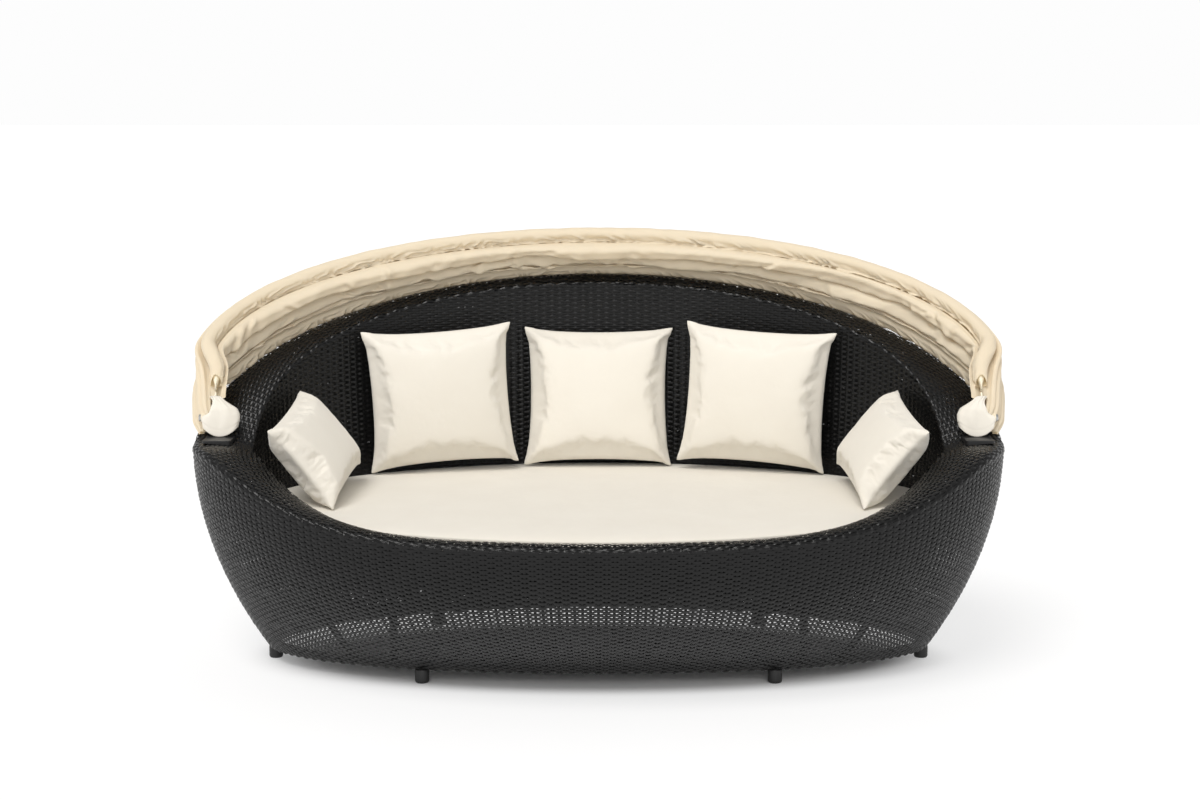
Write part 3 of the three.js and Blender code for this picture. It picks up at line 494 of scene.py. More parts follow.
def mattress_points():
    """Rings of the cover, from the middle of its underside out and round to the middle of its top."""
    rings = []
    for inset, height in mattress_side:
        wall = bowl_place(mattress_turns, height)
        inner = on_oval(mattress_turns, 0, height)
        reach = np.linalg.norm(wall - inner, axis=-1) + half_skin
        rings.append(on_oval(mattress_turns, reach + mattress_clearance + inset, height))
    edge = rings[-1]
    for share, height in mattress_crown:
        ring = edge * (1 - share)
        ring[:, 1] += body_middle_y * share
        ring[:, 2] = height
        dip = 0.0011 * (np.sin(9 * ring[:, 0] + 2) * np.sin(11 * ring[:, 1] + 1) - 1)
        ring[:, 2] += dip * smooth(share / 0.12)
        rings.append(ring)
    return rings


rings = mattress_points()
sides = len(mattress_turns)
faces = grid_faces(len(rings), sides, True)[:, backwards].tolist()
faces.append(list(range(sides))[::-1])
faces.append([(len(rings) - 1) * sides + k for k in range(sides)])
cover = mesh_piece("mattress_cover", np.concatenate(rings), faces, acrylic_canvas)
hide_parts("mattress")
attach(cover, "mattress_body")

# Loose pillows: two square panels of the same canvas sewn edge to edge and filled with fibre, so
# they belly out, draw in between their pointed corners and pucker along the seam. The swelling is
# a cloth simulation of the sewn, nearly flat case, with air pressure in it.

pillow_cells = 60
# The case before it is filled: its size and thickness, as shares of the pillow's, and its form
slack_size_share, slack_share = 1.02, 0.74
slack_pinch, slack_power = 0.045, 0.55
filled_pinch, filled_power = 0.07, 0.45
air_pressure, swell_frames = 4.0, 20
most_swell = 0.026


def pillow_grid(width, height, thickness, pinch, power, cells):
    """Two panels that share their edge, in the plane of X and Z, and their faces."""
    count = cells + 1
    line = np.linspace(-1, 1, count)
    u, v = np.meshgrid(line, line, indexing="ij")
    rise = ((1 - u * u) * (1 - v * v)) ** power
    x = width / 2 * u * (1 - pinch * (1 - v * v))
    z = height / 2 * v * (1 - pinch * (1 - u * u)) + height / 2
    front = np.arange(count * count).reshape(count, count)
    inside = np.zeros((count, count), bool)
    inside[1:-1, 1:-1] = True
    back = front.copy()
    back[inside] = count * count + np.arange(inside.sum())
    points = np.concatenate([np.stack([x, -thickness / 2 * rise, z], -1).reshape(-1, 3),
                             np.stack([x, thickness / 2 * rise, z], -1)[inside]])

    def quads(number):
        corners = [number[:-1, :-1], number[1:, :-1], number[1:, 1:], number[:-1, 1:]]
        return np.stack(corners, -1).reshape(-1, 4)

    return points, np.concatenate([quads(front), quads(back)[:, ::-1]])


def swell(piece, pressure, frames):
    """Inflates a sewn case with Blender's cloth and keeps the result."""
    cloth = piece.modifiers.new("swell", "CLOTH")
    settings = cloth.settings
    settings.quality = 7
    settings.mass = 0.25
    settings.tension_stiffness = 24
    settings.compression_stiffness = 24
    settings.shear_stiffness = 6
    settings.bending_stiffness = 0.35
    settings.use_pressure = True
    settings.uniform_pressure_force = pressure
    settings.effector_weights.gravity = 0
    cloth.collision_settings.use_collision = False
    cloth.point_cache.frame_start = 1
    cloth.point_cache.frame_end = frames
    scene = bpy.context.scene
    for step in range(1, frames + 1):
        scene.frame_set(step)
    evaluated = piece.evaluated_get(bpy.context.evaluated_depsgraph_get())
    points = np.array([p.co for p in evaluated.data.vertices])
    piece.modifiers.remove(cloth)
    scene.frame_set(1)
    return points


def sewn_pillow(name, width, height, thickness):
    """The points of one filled pillow, standing on its lower edge, and its faces."""
    points, faces = pillow_grid(width * slack_size_share, height * slack_size_share,
                                thickness * slack_share, slack_pinch, slack_power, pillow_cells)
    case = mesh_piece(name, points, faces, acrylic_canvas)
    jitter = np.random.default_rng(len(name)).normal(0, 0.0005, points.shape)
    case.data.vertices.foreach_set("co", (points + jitter).ravel())
    moved = swell(case, air_pressure, swell_frames) - points
    bpy.data.objects.remove(case)
    length = np.linalg.norm(moved, axis=1, keepdims=True)
    filled = points + moved * np.minimum(1, most_swell / np.maximum(length, 1e-9))
    low, high = filled.min(0), filled.max(0)
    filled = (filled - (low + high) / 2) / (high - low) * (width, thickness, height)
    filled[:, 2] += height / 2
    return filled, faces


def turned(points, roll, lean, turn):
    """Points turned about Y, then X, then Z, by degrees."""
    for degrees, (a, b) in ((roll, (2, 0)), (-lean, (1, 2)), (turn, (0, 1))):
        angle = math.radians(degrees)
        first, second = points[:, a].copy(), points[:, b].copy()
        points[:, a] = first * math.cos(angle) - second * math.sin(angle)
        points[:, b] = first * math.sin(angle) + second * math.cos(angle)
    return points


def set_pillow(node, body, shape, solid, roll, lean, turn):
    """Places a filled pillow where its solid lies."""
    points, faces = shape
    width, height, thickness = solid
    outline = turned(pillow_grid(width, height, thickness, filled_pinch, filled_power, 8)[0],
                     roll, lean, turn)
    low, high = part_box(node)
    offset = np.array((low + high) / 2) - (outline.min(0) + outline.max(0)) / 2
    pillow = mesh_piece(node + "_filled", turned(points.copy(), roll, lean, turn) + offset, faces,
                        acrylic_canvas)
    pillow.modifiers.new("fine", "SUBSURF").render_levels = 1
    pillow.modifiers["fine"].levels = 1
    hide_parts(node)
    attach(pillow, body)


back_size = (0.44019, 0.412, 0.150)
side_size = (0.450048, 0.272, 0.130)
back_shape = sewn_pillow("back_pillow", *back_size)
side_shape = sewn_pillow("side_pillow", *side_size)
set_pillow("pillow_centre", "pillow_centre_body", back_shape, back_size, 0, 13, 0)
for side, way in (("left", -1), ("right", 1)):
    set_pillow("pillow_" + side, f"pillow_{side}_body", back_shape, back_size, way * 3, 6, -way * 12.3)
    set_pillow("side_pillow_" + side, f"side_pillow_{side}_body", side_shape, side_size,
               way * 7.5, 38, -way * 82)

# Canopy bows: four arches of cream powder-coated steel tube, 19 mm across. Each end is pressed
# flat, rounded and drilled, and hangs on one bolt, so the arches swing over the seat. The
# coating is smooth and slightly glossy.

pivot_back, pivot_rise = 0.005, 0.059
pivot_y = pivot_back + body_middle_y
pivot_z = arm_height + pivot_rise
slope = math.atan2(back_rise, half_depth)
# How far the folded rear bow lies in from the rim's edge, and above the rim at the back
rear_inset, rear_lift = 0.022, 0.0189
bow_reach = (half_depth - pivot_back - rear_inset) / math.cos(slope)
bow_half_width = half_width - 0.011
shoulders = (0, 0.060, 0.1125, 0.150)
rear_off = (arm_height + back_rise + rear_lift - pivot_z - bow_reach * math.sin(slope)) / math.cos(slope)
bow_pitch = 0.040
leg_rise = 0.200
flare_start = 0.104
flare_ends = (0.250, 0.250, 0.250, 0.230)
tab_places = (1.0736, 1.0681, 1.0626, 1.040)
tube_radius = 0.0095
tab_half_width, tab_half_thickness, tab_length, tab_hole = 0.011, 0.0025, 0.072, 0.0053
edge_ease = 0.0008
pressed_out, pressed_half_width, pressed_half_thickness = 0.060, 0.0106, 0.0023
# Where the pressed end starts to swell to the full tube, and over what length
swell_start, swell_reach = 0.066, 0.024
bow_names = ("rear", "second", "third", "front")
bow_bodies = ("root", "canopy_second", "canopy_third", "canopy_front")

powder_coated_cream, tree, shader, place = new_material("powder_coated_cream_steel", Roughness=0.38,
                                                        Base_Color=linear("#e6dcc4"))
fine_relief(tree, shader, place, 450.0, 1.0, 0.12, 0.0004)
offward = np.array([0, -math.sin(slope), math.cos(slope)])


def bow_side(bow, out, x):
    """Points of a bow's centre line on the right half, that far out from the bolt and aside."""
    bend = smooth((out - flare_start) / (flare_ends[bow] - flare_start))
    off = (rear_off + bow_pitch * bow) * (1 - np.maximum(1 - out / leg_rise, 0) ** 2)
    return np.stack([tab_places[bow] + (x - tab_places[bow]) * bend,
                     pivot_y + out * math.cos(slope) - off * math.sin(slope),
                     pivot_z + out * math.sin(slope) + off * math.cos(slope)], -1)


def turn_at(out):
    """Angle, seen from between the bolts, of the point of a bow's leg that far out."""
    return math.atan2(out, bow_reach)


def bow_line(bow, turns):
    """Points of a bow's centre line at angles from the right leg over the crown to the left leg."""
    angle = np.linspace(0, math.pi / 2, 2500)
    reach = bow_reach - shoulders[bow]
    out = np.concatenate([np.linspace(0, shoulders[bow], 300, endpoint=False),
                          shoulders[bow] + reach * np.sin(angle)])
    x = bow_half_width * np.concatenate([np.ones(300), np.cos(angle)])
    seen = np.arctan2(out, x * bow_reach / bow_half_width)
    near = np.minimum(turns, math.pi - turns)
    line = bow_side(bow, np.interp(near, seen, out), np.interp(near, seen, x))
    line[:, 0] *= np.where(turns > math.pi / 2, -1, 1)
    return line


def frames_along(line):
    """The two directions of a line's section at each point: away from the seat, and off the rim."""
    along = np.gradient(line, axis=0)
    along /= np.linalg.norm(along, axis=1, keepdims=True)
    side = np.cross(along, offward)
    side /= np.linalg.norm(side, axis=1, keepdims=True)
    return side, np.cross(side, along)


def drilled_plate(x, way, reach, length, half_width, half_thickness):
    """Points of a plate on the pivot line, drilled and with one round end, as closed loops round its
    edge and its hole."""
    middle, axis = np.array([x, pivot_y, pivot_z]), np.array([way, 0, 0])
    across = np.cross(axis, reach)
    turn = np.linspace(0, 2 * math.pi, 48, endpoint=False)
    rings = []
    eased = 1 - edge_ease / half_thickness
    for level, inset in ((1, None), (1, edge_ease), (eased, 0), (-eased, 0), (-1, edge_ease), (-1, None)):
        wide = tab_hole if inset is None else half_width - inset
        u, v = wide * np.cos(turn), wide * np.sin(turn)
        if inset is not None:
            u = np.where(u > 0, u / wide * (length - inset), u)
        rings.append(middle + level * half_thickness * axis + u[:, None] * reach + v[:, None] * across)
    return np.array(rings + rings[:1])


def on_leg(bow, out):
    """A point of a bow's right leg, that far out from the bolt."""
    return bow_side(bow, np.array([out]), np.array([bow_half_width]))[0]


def add_grid(points, faces, grid, flip=False):
    """Adds a grid of points, closed round, to a mesh in the making; returns its first number."""
    start = sum(len(p) for p in points)
    quads = grid_faces(*grid.shape[:2], True) + start
    faces += (quads[:, ::-1] if flip else quads).tolist()
    points.append(grid.reshape(-1, 3))
    return start


def flattened_end(bow, sign):
    """A bow's drilled tab, from its round end on the bolt up to the bent tube."""
    lean = on_leg(bow, tab_length) - (0, pivot_y, pivot_z)
    reach = np.array([0, lean[1], lean[2]]) / math.hypot(lean[1], lean[2])
    return drilled_plate(sign * tab_places[bow], 1.0, reach, tab_length, tab_half_width,
                         tab_half_thickness)


def bow_tube(bow, stations=420, sides=24):
    """A bow as one mesh: the bent tube, pressed flat towards both ends, and its two drilled tabs."""
    turns = np.linspace(turn_at(pressed_out), math.pi - turn_at(pressed_out), stations)
    line = bow_line(bow, turns)
    side, rise = frames_along(line)
    near = bow_reach * np.tan(np.minimum(np.minimum(turns, math.pi - turns), 1))
    press = smooth((near - swell_start) / swell_reach)[:, None, None]
    thick = pressed_half_thickness + (tube_radius - pressed_half_thickness) * press
    wide = pressed_half_width + (tube_radius - pressed_half_width) * press
    turn = np.linspace(0, 2 * math.pi, sides, endpoint=False)[None, :, None]
    tube = line[:, None] + thick * np.cos(turn) * side[:, None] + wide * np.sin(turn) * rise[:, None]
    points, faces = [], []
    add_grid(points, faces, tube)
    faces += [list(range(sides)), [(stations - 1) * sides + k for k in range(sides)][::-1]]
    for sign in (1, -1):
        add_grid(points, faces, flattened_end(bow, sign), flip=sign < 0)
    return mesh_piece("bow_" + bow_names[bow] + "_tube", np.concatenate(points), faces, powder_coated_cream)


for bow, name in enumerate(bow_names):
    tube = bow_tube(bow)
    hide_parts("bow_" + name)
    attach(tube, bow_bodies[bow])


# Hinges: a welded steel bracket, powder coated black, stands on each arm: a foot plate, a drilled
# ear and a boss. One zinc-plated steel bolt passes through it and the drilled ends of the bows,
# with a round head on the inside and a plain six-sided nut outside.

ear_low_x, ear_high_x = 1.0538, 1.0598
ear_half_depth = 0.014
boss_radius, boss_length = 0.0085, 0.011
foot_half_x, foot_half_y, foot_corner = 0.0385, 0.047, 0.010
foot_middle_y = pivot_y - 0.050
foot_top = 0.6178
plate_ease, ear_root = 0.0012, 0.003


def foot_plate(sign):
    """Rings of a foot plate with round corners: its underside follows the crowned arm."""
    turn = np.linspace(0, 2 * math.pi, 64, endpoint=False)
    c, s = np.cos(turn), np.sin(turn)
    corner = np.stack([np.sign(c) * (foot_half_x - foot_corner) + foot_corner * c,
                       np.sign(s) * (foot_half_y - foot_corner) + foot_corner * s], -1)
    middle_x = ear_high_x - foot_half_x
    rings = []
    for share, top in ((1.0, False), (1.0, True), (0.97, True)):
        x, y = middle_x + corner[:, 0] * share, foot_middle_y + corner[:, 1] * share
        inward = np.clip((half_width - x) / band_width(0), 0, 1)
        arm = rim_height(np.arcsin((y - body_middle_y) / half_depth)) + (
            4 * band_crown * inward * (1 - inward) - band_drop * inward)
        z = foot_top - (plate_ease if share == 1 else 0) if top else arm + strand_rise + strand_crown
        rings.append(np.stack([sign * x, y, np.broadcast_to(z, x.shape)], -1))
    return np.array(rings)


def bracket_mesh(name, sign):
    """A bracket: its ear, the boss inside the ear, and its foot plate."""
    down = np.array([0.0, 0.0, -1.0])
    points, faces = [], []
    add_grid(points, faces, drilled_plate(sign * (ear_low_x + ear_high_x) / 2, float(sign), down,
                                          pivot_z - foot_top + ear_root, ear_half_depth,
                                          (ear_high_x - ear_low_x) / 2))
    add_grid(points, faces, drilled_plate(sign * (ear_low_x - boss_length / 2), float(sign), down,
                                          boss_radius, boss_radius, boss_length / 2))
    foot = foot_plate(sign)
    start, count = add_grid(points, faces, foot, flip=sign > 0), foot.shape[1]
    faces += [[start + k for k in range(count)], [start + 2 * count + k for k in range(count)]]
    piece = mesh_piece(name, np.concatenate(points), faces, powder_coated_black)
    piece.data.set_sharp_from_angle(angle=math.radians(40))
    return piece


for sign, hand in ((1, "right"), (-1, "left")):
    bracket = bracket_mesh("pivot_bracket_" + hand + "_steel", sign)
    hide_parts("pivot_bracket_" + hand)
    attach(bracket, "root")

zinc_plated_steel, tree, shader, place = new_material("zinc_plated_steel", Metallic=1.0,
                                                      Base_Color=linear("#b4b6b8"))
# Plating leaves fine bright and dull grain
grain = add_node(tree, "ShaderNodeTexNoise", Vector=place, Scale=700.0, Detail=3.0)
gloss = add_node(tree, "ShaderNodeMapRange", Value=grain.outputs["Fac"], To_Min=0.28, To_Max=0.5)
tree.links.new(gloss.outputs["Result"], shader.inputs["Roughness"])
bolt_radius = 0.005
head_radius = 0.009
# Distance from the head's outer end, radius, and 1 where the section is six-sided
bolt_profile = [(0, 0, 0), (0, 0.0055, 0), (0.0012, 0.0080, 0), (0.0028, head_radius, 0),
                (0.0060, head_radius, 0), (0.0060, bolt_radius, 0), (0.04, bolt_radius, 0),
                (0.04, 0.0079, 1), (0.0404, 0.0083, 1), (0.0456, 0.0083, 1), (0.046, 0.0079, 1),
                (0.046, bolt_radius, 0), (0.046, 0, 0)]


def bolt_mesh(name, profile, sign, low_x, high_x, sides=48):
    """A bolt with its nut along X, stretched so that the nut's outer end lies at the far X."""
    turn = np.linspace(0, 2 * math.pi, sides, endpoint=False)
    hexed = 1 / np.cos((turn + math.pi / 6) % (math.pi / 3) - math.pi / 6)
    stretch = high_x - low_x - profile[-1][0]
    rings = [np.stack([np.full(sides, sign * (low_x + x + (stretch if x >= 0.04 else 0))),
                       pivot_y + r * np.cos(turn) * (hexed if six else 1),
                       pivot_z + r * np.sin(turn) * (hexed if six else 1)], -1)
             for x, r, six in profile if r > 0]
    faces = grid_faces(len(rings), sides, True)[:, ::-sign].tolist()
    faces += [list(range(sides)), [(len(rings) - 1) * sides + k for k in range(sides)]]
    piece = mesh_piece(name, np.concatenate(rings), faces, zinc_plated_steel)
    piece.data.set_sharp_from_angle(angle=math.radians(35))
    return piece


for sign, hand in ((1, "right"), (-1, "left")):
    low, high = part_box("pivot_bolt_" + hand)
    ends = sorted((abs(low.x), abs(high.x)))
    bolt = bolt_mesh("pivot_bolt_" + hand + "_hardware", bolt_profile, sign, *ends)
    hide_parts("pivot_bolt_" + hand)
    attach(bolt, "root")

# Canopy cloth: the same weave in a warmer shade. It is thin, so light comes through it and the
# hollows of its folds glow golden.

canopy_canvas, tree, shader, place = new_material("canopy_canvas", Roughness=0.85,
                                                  Specular_IOR_Level=0.2,
                                                  Sheen_Weight=0.15, Sheen_Roughness=0.5)
cloud = add_node(tree, "ShaderNodeTexNoise", Vector=place, Scale=7.0, Detail=3.0)
two_tones(tree, shader, cloud.outputs["Fac"], "#e9dcc3", "#eee3cc")
threads = add_node(tree, "ShaderNodeTexNoise", Vector=place, Scale=650.0, Detail=3.0)
weft = add_node(tree, "ShaderNodeBump", Height=threads.outputs["Fac"], Strength=0.3, Distance=0.0005)
tree.links.new(weft.outputs["Normal"], shader.inputs["Normal"])
glow = add_node(tree, "ShaderNodeBsdfTranslucent", Color=linear("#ecd6a4"), Normal=weft.outputs["Normal"])
through = add_node(tree, "ShaderNodeMixShader", Fac=0.26)
tree.links.new(shader.outputs["BSDF"], through.inputs[1])
tree.links.new(glow.outputs["BSDF"], through.inputs[2])
tree.links.new(through.outputs["Shader"], tree.nodes["Material Output"].inputs["Surface"])

# Canopy sleeves: each bow runs in a tube of cream acrylic canvas, sewn shut along a narrow seam
# that also holds the gores. The front and rear ones are fat and loose, and the slack cloth
# draws up in short slanting wrinkles along the stitches.

sleeve_starts = (0.112, 0.112, 0.1125, 0.076)
sleeve_radii = (0.019, 0.0115, 0.0115, 0.022)
seam_turns = np.radians((48, 198, 198, 208))
wrinkle_turns = np.radians((205, 198, 198, 186))
wrinkle_pitch, wrinkle_depth = 0.044, 0.0060
# Height of the cloth's slow lumps, of its lean to one side and then the other, and of the stitches
lumps, twist, stitch_depth = 0.0009, 0.0008, 0.0012
rear_sag, rear_sag_turn = 0.0065, math.radians(228)
cloth_gap = 0.0007
seam_width = 0.006
frontmost = len(bow_names) - 1
front_end_cut, front_end_taper = 0.026, 0.26
# How much nearer to the bolt the front sleeve's cloth starts, and how far in slack cloth lies
front_overhang, slack_draw = 0.004, 0.0015


def wander(t, reach, seed):
    """A smooth line between about -1 and 1 that never repeats, and changes over that reach."""
    pick = np.random.default_rng(seed)
    return sum(weight * np.sin(2 * math.pi * t / (reach * scale) + pick.uniform(0, 7))
               for weight, scale in ((0.5, 1), (0.35, 0.63), (0.25, 0.37)))


def length_along(line):
    """Length from a line's start to each of its points."""
    steps = np.linalg.norm(np.diff(line, axis=0), axis=1)
    return np.concatenate([[0], np.cumsum(steps)])


def from_seam(angle, seam):
    """Turn between a point of a sleeve and its seam, either way round."""
    return np.abs((angle - seam + math.pi) % (2 * math.pi) - math.pi)


def ridges(value):
    """Rounded folds with narrow valleys between them, one for each unit of the value."""
    return 1 - 2 * np.abs(np.cos(math.pi * value)) ** 0.7


def sleeve_mesh(bow, stations, around_count, slack):
    """A sewn sleeve: both edges of the cloth turn out side by side into the seam."""
    start = turn_at(sleeve_starts[bow] - (front_overhang if bow == frontmost else 0))
    turns = np.linspace(start, math.pi - start, stations)
    line = bow_line(bow, turns)
    t = length_along(line)
    whole = t[-1]
    radius = sleeve_radii[bow]
    seam = seam_turns[bow]
    spread = cloth_gap / radius
    turn = np.concatenate([[0, 0, 0], np.linspace(0, 2 * math.pi - 2 * spread, around_count), [0, 0, 0]])
    turn[-3:] = 2 * math.pi - 2 * spread
    turn += seam + spread
    lift = np.concatenate([[seam_width, seam_width * 0.6, seam_width * 0.2], np.zeros(around_count),
                           [seam_width * 0.2, seam_width * 0.6, seam_width]])
    tt, aa = np.meshgrid(t, turn, indexing="ij")
    ends = np.minimum(tt, whole - tt)
    # Slanting wrinkles beside the stitches, that fade out round the sleeve
    band = np.exp(-(from_seam(aa, wrinkle_turns[bow]) / 0.5) ** 2)
    push = wander(tt + 0.03 * aa, 0.21, 11 + bow) + 0.5 * wander(tt, 0.5, 21 + bow)
    slant = 2.0 * radius * np.tanh((whole / 2 - tt) / 0.2)
    folds = ridges((tt + slant * (aa - wrinkle_turns[bow])) / wrinkle_pitch + push)
    strength = 0.45 + 0.55 * smooth(0.5 + wander(tt, 0.34, 31 + bow))
    surface = radius - slack_draw * slack
    surface = surface + slack * wrinkle_depth * band * strength * folds
    surface = surface + slack * lumps * wander(tt + radius * 2 * aa, 0.16, 41 + bow)
    surface = surface + slack * twist * np.cos(2 * aa + 5 * tt)
    if bow == 0:
        surface = surface + rear_sag * np.exp(-(from_seam(aa, rear_sag_turn) / 0.6) ** 2)
    # A row of stitches draws the cloth in a little beside the seam
    stitch = np.exp(-((from_seam(aa, seam) - 0.2) / 0.07) ** 2)
    surface = surface - slack * stitch_depth * stitch
    surface = surface + lift
    if bow == frontmost:
        surface = surface * (1 - front_end_taper * np.exp(-ends / 0.035))
    side, rise = frames_along(line)
    points = line[:, None] + surface[..., None] * (np.cos(aa)[..., None] * side[:, None]
                                                   + np.sin(aa)[..., None] * rise[:, None])
    if bow == frontmost:
        # The ends are cut back on the side where the tube shows
        cut = front_end_cut * np.exp(-ends / 0.03) * np.clip(np.sin(aa), 0, 1) ** 1.5
        along = np.cross(rise, side)
        points += (cut * np.sign(whole / 2 - tt))[..., None] * along[:, None]
    return points


for bow, name in enumerate(bow_names):
    fat = bow in (0, frontmost)
    points = sleeve_mesh(bow, 640 if fat else 300, 60 if fat else 24, 1.0 if fat else 0.35)
    sleeve = mesh_piece("sleeve_" + name + "_cloth", points, grid_faces(*points.shape[:2]), canopy_canvas)
    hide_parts("sleeve_" + name)
    start = turn_at(sleeve_starts[bow])
    length = length_along(bow_line(bow, np.linspace(start, math.pi - start, 300)))[-1]
    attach(sleeve, bow_bodies[bow])

# Canopy gores: three shaped panels of the same canvas, one between each bow and the next. With
# the canopy folded back each hangs in loose layers: a fold out behind the bows, a pass between
# two sleeves, and a fold towards the seat that sags over the sleeve below.

gore_start = 0.046
# The curtain of loose cloth at each end fades in, and hangs down, forward and inward from the bows
end_fade, end_reach = 0.035, 0.09
end_inward, end_forward, end_drop = 0.018, 0.046, 0.062
gore_low_clear = 0.0013
inner_fold = ((0.010, 0.002), (0.024, 0.008), (0.044, 0.010))
lobe_low = ((0.027, 0.002), (-0.003, 0.006), (-0.004, 0.008))
outer_fold = (0.034, 0.033, 0.031)
leg_outer_fold = 0.026
hollow_place, hollow_reach = 0.215, 0.075
crease_count, crease_height, ripple_height = 42, 0.0115, 0.0016
gore_controls = 23


def spline_weights(controls, samples):
    """How far each control point of a smooth curve pulls each of its samples (a cubic B-spline)."""
    knots = np.concatenate([np.zeros(3), np.linspace(0, 1, controls - 2), np.ones(3)])
    t = np.linspace(0, 1, samples)[:, None]
    weights = ((knots[:-1] <= t) & (t < knots[1:])).astype(float)
    weights[-1, controls - 1] = 1
    for degree in (1, 2, 3):
        low, high = knots[:-1 - degree], knots[degree:-1]
        up = np.divide(t - low, high - low, out=np.zeros((samples, len(low))), where=high > low)
        low, high = knots[1:-degree], knots[degree + 1:]
        down = np.divide(high - t, high - low, out=np.zeros((samples, len(low))), where=high > low)
        weights = up * weights[:, :-1] + down * weights[:, 1:]
    return weights


def lobe_floor(bow, t):
    """How far off its lower bow a gore's sagging layer ends."""
    low, change = lobe_low[bow]
    return low + change * wander(t, 0.62, 61 + bow)


def gore_section(bow, t, share, pitch):
    """Control points of a gore's section at each station: distance out from the bows, and off."""
    low_radius, high_radius = sleeve_radii[bow], sleeve_radii[bow + 1]
    full = smooth(np.minimum(share, 1 - share) / 0.13)
    deep, change = inner_fold[bow]
    deep = deep * (0.25 + 0.75 * full) + change * wander(t, 0.8, 71 + bow) * full
    if bow == frontmost - 1:
        deep = deep * (1 - 0.62 * np.exp(-((share - hollow_place) / hollow_reach) ** 2))
    near_end = np.minimum(t, t[-1] - t)
    closed = 0.3 + 0.7 * smooth(near_end / end_fade)
    out = leg_outer_fold + (outer_fold[bow] - leg_outer_fold + 0.003 * wander(t, 0.5, 81 + bow)) * full
    out = out * closed
    scale = pitch / bow_pitch
    floor_off = lobe_floor(bow, t) * scale
    top = pitch - 0.006 * scale
    if bow < frontmost - 1:
        top = pitch + (lobe_floor(bow + 1, t) - 0.005) * scale
    middle = (low_radius + pitch - high_radius) / 2
    contact = low_radius + gore_low_clear
    inner, shallow = -low_radius - 0.004, -high_radius - 0.004
    seam_x = (high_radius + seam_width * 0.7) * math.cos(seam_turns[bow + 1])
    seam_off = pitch + (high_radius + seam_width * 0.7) * math.sin(seam_turns[bow + 1])
    zero = np.zeros_like(t)
    section = [
        (contact * math.cos(0.75) + zero, contact * math.sin(0.75) * scale),
        (contact + 0.010 + zero, 0.010 * scale),
        (contact + out, 0.001 * scale),
        (contact + out + 0.003, 0.008 * scale),
        (contact + out * 0.8, 0.014 * scale),
        (contact + out * 0.2, 0.012 * scale),
        (contact + out * 0.2, 0.018 * scale),
        (contact + out * 0.9, 0.018 * scale),
        (contact + out + 0.002, 0.026 * scale),
        (contact + out * 0.75, 0.034 * scale),
        (contact + 0.008 + zero, middle + 0.004 * scale),
        (0.004 + zero, middle),
        (-0.006 + zero, middle),
        (inner + zero, middle - 0.001),
        (inner - 0.1 * deep, np.minimum(middle, floor_off + 0.010 * scale)),
        (inner - 0.45 * deep, floor_off + 0.001),
        (inner - 0.85 * deep, floor_off - 0.001),
        (inner - 1.05 * deep, floor_off + 0.006 * scale),
        (inner - 1.0 * deep, 0.55 * floor_off + 0.45 * top),
        (shallow - 0.85 * deep, 0.2 * floor_off + 0.8 * top),
        (shallow - 0.45 * deep, top),
        (shallow - 0.006, np.minimum(top + 0.002, seam_off + 0.002)),
        (seam_x + zero, seam_off),
    ]
    return np.array([np.broadcast_arrays(a, b) for a, b in section]).transpose(2, 0, 1)


def crumples(t, s, seed):
    """Small creases that cross the cloth aslant at a few places and die away at both ends."""
    pick = np.random.default_rng(seed)
    total = 0
    for _ in range(crease_count):
        place, tilt = pick.uniform(0.05, 0.95) * t.max(), pick.uniform(-0.35, 0.35)
        width, middle, reach = pick.uniform(0.012, 0.029), pick.uniform(0.7, 0.95), pick.uniform(0.03, 0.09)
        across = (t - place - tilt * (s - middle)) / width
        total = total + pick.uniform(0.4, 1) * across * np.exp(-across ** 2) * np.exp(
            -((s - middle) / reach) ** 2)
    return crease_height * total


def gore_mesh(bow, stations=720, samples=100):
    """A gore's grid of points, and the crowns of the two bows it hangs between."""
    turns = np.linspace(turn_at(gore_start), math.pi - turn_at(gore_start), stations)
    low, high = bow_line(bow, turns), bow_line(bow + 1, turns)
    t = length_along(low)
    pitch = np.linalg.norm(high - low, axis=1)
    section = np.einsum("pc,scd->spd", spline_weights(gore_controls, samples),
                        gore_section(bow, t, t / t[-1], pitch))
    a, b = section[..., :1], section[..., 1:]
    share = b / pitch[:, None, None]
    low_side, high_side = frames_along(low)[0], frames_along(high)[0]
    side = low_side[:, None] + (high_side - low_side)[:, None] * np.clip(share, 0, 1)
    points = low[:, None] + (high - low)[:, None] * share + a * side
    near_end = np.minimum(t, t[-1] - t)[:, None]
    fall = (1 - smooth(near_end / end_reach)) * smooth((a[..., 0] - 0.002) / 0.010)
    points[..., 0] -= end_inward * fall * np.sign(points[..., 0])
    points[..., 1] -= end_forward * fall
    points[..., 2] -= end_drop * fall
    along, down = np.gradient(points, axis=0), np.gradient(points, axis=1)
    normal = np.cross(along, down)
    normal /= np.linalg.norm(normal, axis=2, keepdims=True)
    s = np.linspace(0, 1, samples)[None, :]
    tt = t[:, None]
    free = smooth((s - 0.62) / 0.08) * smooth((0.985 - s) / 0.06)
    push = crumples(tt, s, 91 + bow) + ripple_height * wander(tt + 0.3 * s, 0.16, 95 + bow)
    points += normal * (push * free)[..., None]
    return points, low[stations // 2], high[stations // 2]


gore_names = ("rear", "middle", "front")
for bow, name in enumerate(gore_names):
    points, low_crown, high_crown = gore_mesh(bow)
    gore = mesh_piece("canopy_gore_" + name + "_cloth", points, grid_faces(*points.shape[:2]),
                      canopy_canvas)
    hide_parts("canopy_gore_" + name)
    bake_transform(gore)

# Hinge boots: a small bag of the paler canvas over each end of the front bow, gathered round the
# tube above. It hangs open below with a turned-up hem, and its front spreads over the bracket.

boot_low, boot_high = -0.023, 0.058
boot_middle = tab_places[frontmost] - 0.028
boot_neck = 0.0148
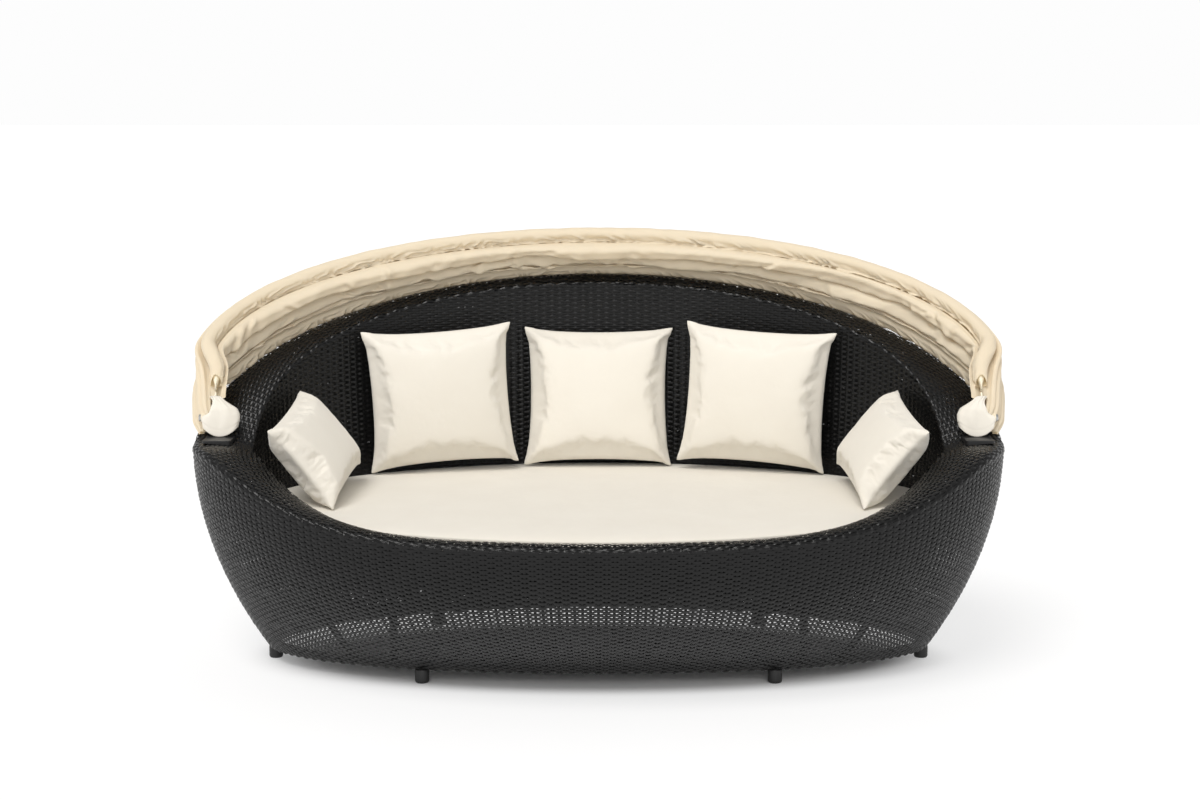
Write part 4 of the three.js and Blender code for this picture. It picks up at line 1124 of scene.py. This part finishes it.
# Section of the bag: distance aside, and to the front, of points round it; the last column is 1
# where the cloth belongs to the flap that hangs before the bracket's ear
boot_section = np.array([
    (0.039, -0.006, 0), (0.0385, 0.008, 0), (0.040, 0.0165, 0.3), (0.052, 0.0180, 1), (0.060, 0.022, 1),
    (0.050, 0.027, 1), (0.030, 0.029, 0.2), (0.0, 0.029, 0), (-0.026, 0.024, 0), (-0.040, 0.010, 0),
    (-0.040, -0.008, 0), (-0.028, -0.022, 0), (0.0, -0.026, 0), (0.028, -0.021, 0)])
boot_shape = ((0, 0.92), (0.2, 1.0), (0.42, 1.0), (0.62, 0.90), (0.82, 0.68), (1.0, 0.40))
hem_width, hem_gap = 0.012, 0.0014
gather_depth, soft_depth, crease_depth, hem_stitch = 0.09, 0.05, 0.035, 0.02
# The front hangs lower than the back, most of all near its middle
front_drop, drop_middle, drop_reach = 0.034, 0.010, 0.046


def closed_curve(points, samples):
    """A smooth closed curve through points, by a periodic cubic."""
    count = len(points)
    where = np.linspace(0, count, samples, endpoint=False)
    k, t = where.astype(int), (where % 1)[:, None]
    p0, p1, p2, p3 = (points[(k + i) % count] for i in (-1, 0, 1, 2))
    return 0.5 * (2 * p1 + (p2 - p0) * t + (2 * p0 - 5 * p1 + 4 * p2 - p3) * t ** 2
                  + (3 * p1 - p0 - 3 * p2 + p3) * t ** 3)


def boot_mesh(sign, stations=46, sides=112):
    """Rings of a boot from inside its hem, round the hem's edge and up to the neck."""
    up = on_leg(frontmost, boot_high)
    along = np.array([0, up[1] - pivot_y, up[2] - pivot_z])
    along /= np.linalg.norm(along)
    deep = np.array([0, -along[2], along[1]])
    outward_share = float(along @ (0, math.cos(slope), math.sin(slope)))
    section = closed_curve(boot_section, sides)
    turn = np.arctan2(section[:, 1], section[:, 0])
    shares, sizes = zip(*boot_shape)
    rings = []
    inner = [(boot_low + x, hem_gap) for x in np.linspace(hem_width, 0, 6)]
    outer = [(x, 0) for x in np.linspace(boot_low + 0.0004, boot_high, stations)]
    for reach, wall in inner + outer:
        place = (reach - boot_low) / (boot_high - boot_low)
        size = float(np.interp(place, shares, sizes))
        near = smooth((place - 0.6) / 0.4)
        spread = 1 - 0.42 * section[:, 2] * smooth((place - 0.25) / 0.4)
        x = section[:, 0] * size * spread
        d = section[:, 1] * (0.45 + 0.55 * size)
        # Gathers spread down from the neck, and soft folds run to the hem
        gather = gather_depth * np.exp(-((1 - place) / 0.28) ** 2) * np.sin(11 * turn + 3 * place + 0.6)
        soft = soft_depth * smooth(1 - place) * np.sin(3 * turn + 1.2 + 2.2 * place)
        soft = soft + crease_depth * np.sin(5 * turn - 3 * place) * (
            smooth(place / 0.3) * smooth((1 - place) / 0.5))
        stitch = -hem_stitch * math.exp(-((reach - boot_low - hem_width) / 0.0016) ** 2)
        swell = (1 + gather + soft * (1 - section[:, 2]) + stitch) * (1 - wall / 0.03)
        x = (x + (boot_neck * np.cos(turn) - x) * near) * swell
        d = (d + (boot_neck * np.sin(turn) - d) * near) * swell
        tube = on_leg(frontmost, max(reach * outward_share, 0))
        pull = place ** 3
        middle = np.array([boot_middle, pivot_y, pivot_z]) + along * reach
        middle[0] += (tube[0] - middle[0]) * pull
        middle += deep * float((tube - middle) @ deep) * pull
        ring = middle + x[:, None] * (1, 0, 0) + d[:, None] * deep
        rounded = 1 - 0.75 * np.clip(np.abs(x - drop_middle) / drop_reach, 0, 1) ** 2.2
        ring[:, 2] -= front_drop * (1 - place) ** 1.2 * smooth((d + 0.012) / 0.036) * rounded
        rings.append(ring * (sign, 1, 1))
    return np.array(rings)


for sign, hand in ((1, "right"), (-1, "left")):
    rings = boot_mesh(sign)
    faces = grid_faces(*rings.shape[:2], True)[:, ::sign]
    boot = mesh_piece("boot_" + hand + "_cloth", rings, faces, acrylic_canvas)
    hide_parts("boot_" + hand)
    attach(boot, bow_bodies[frontmost])
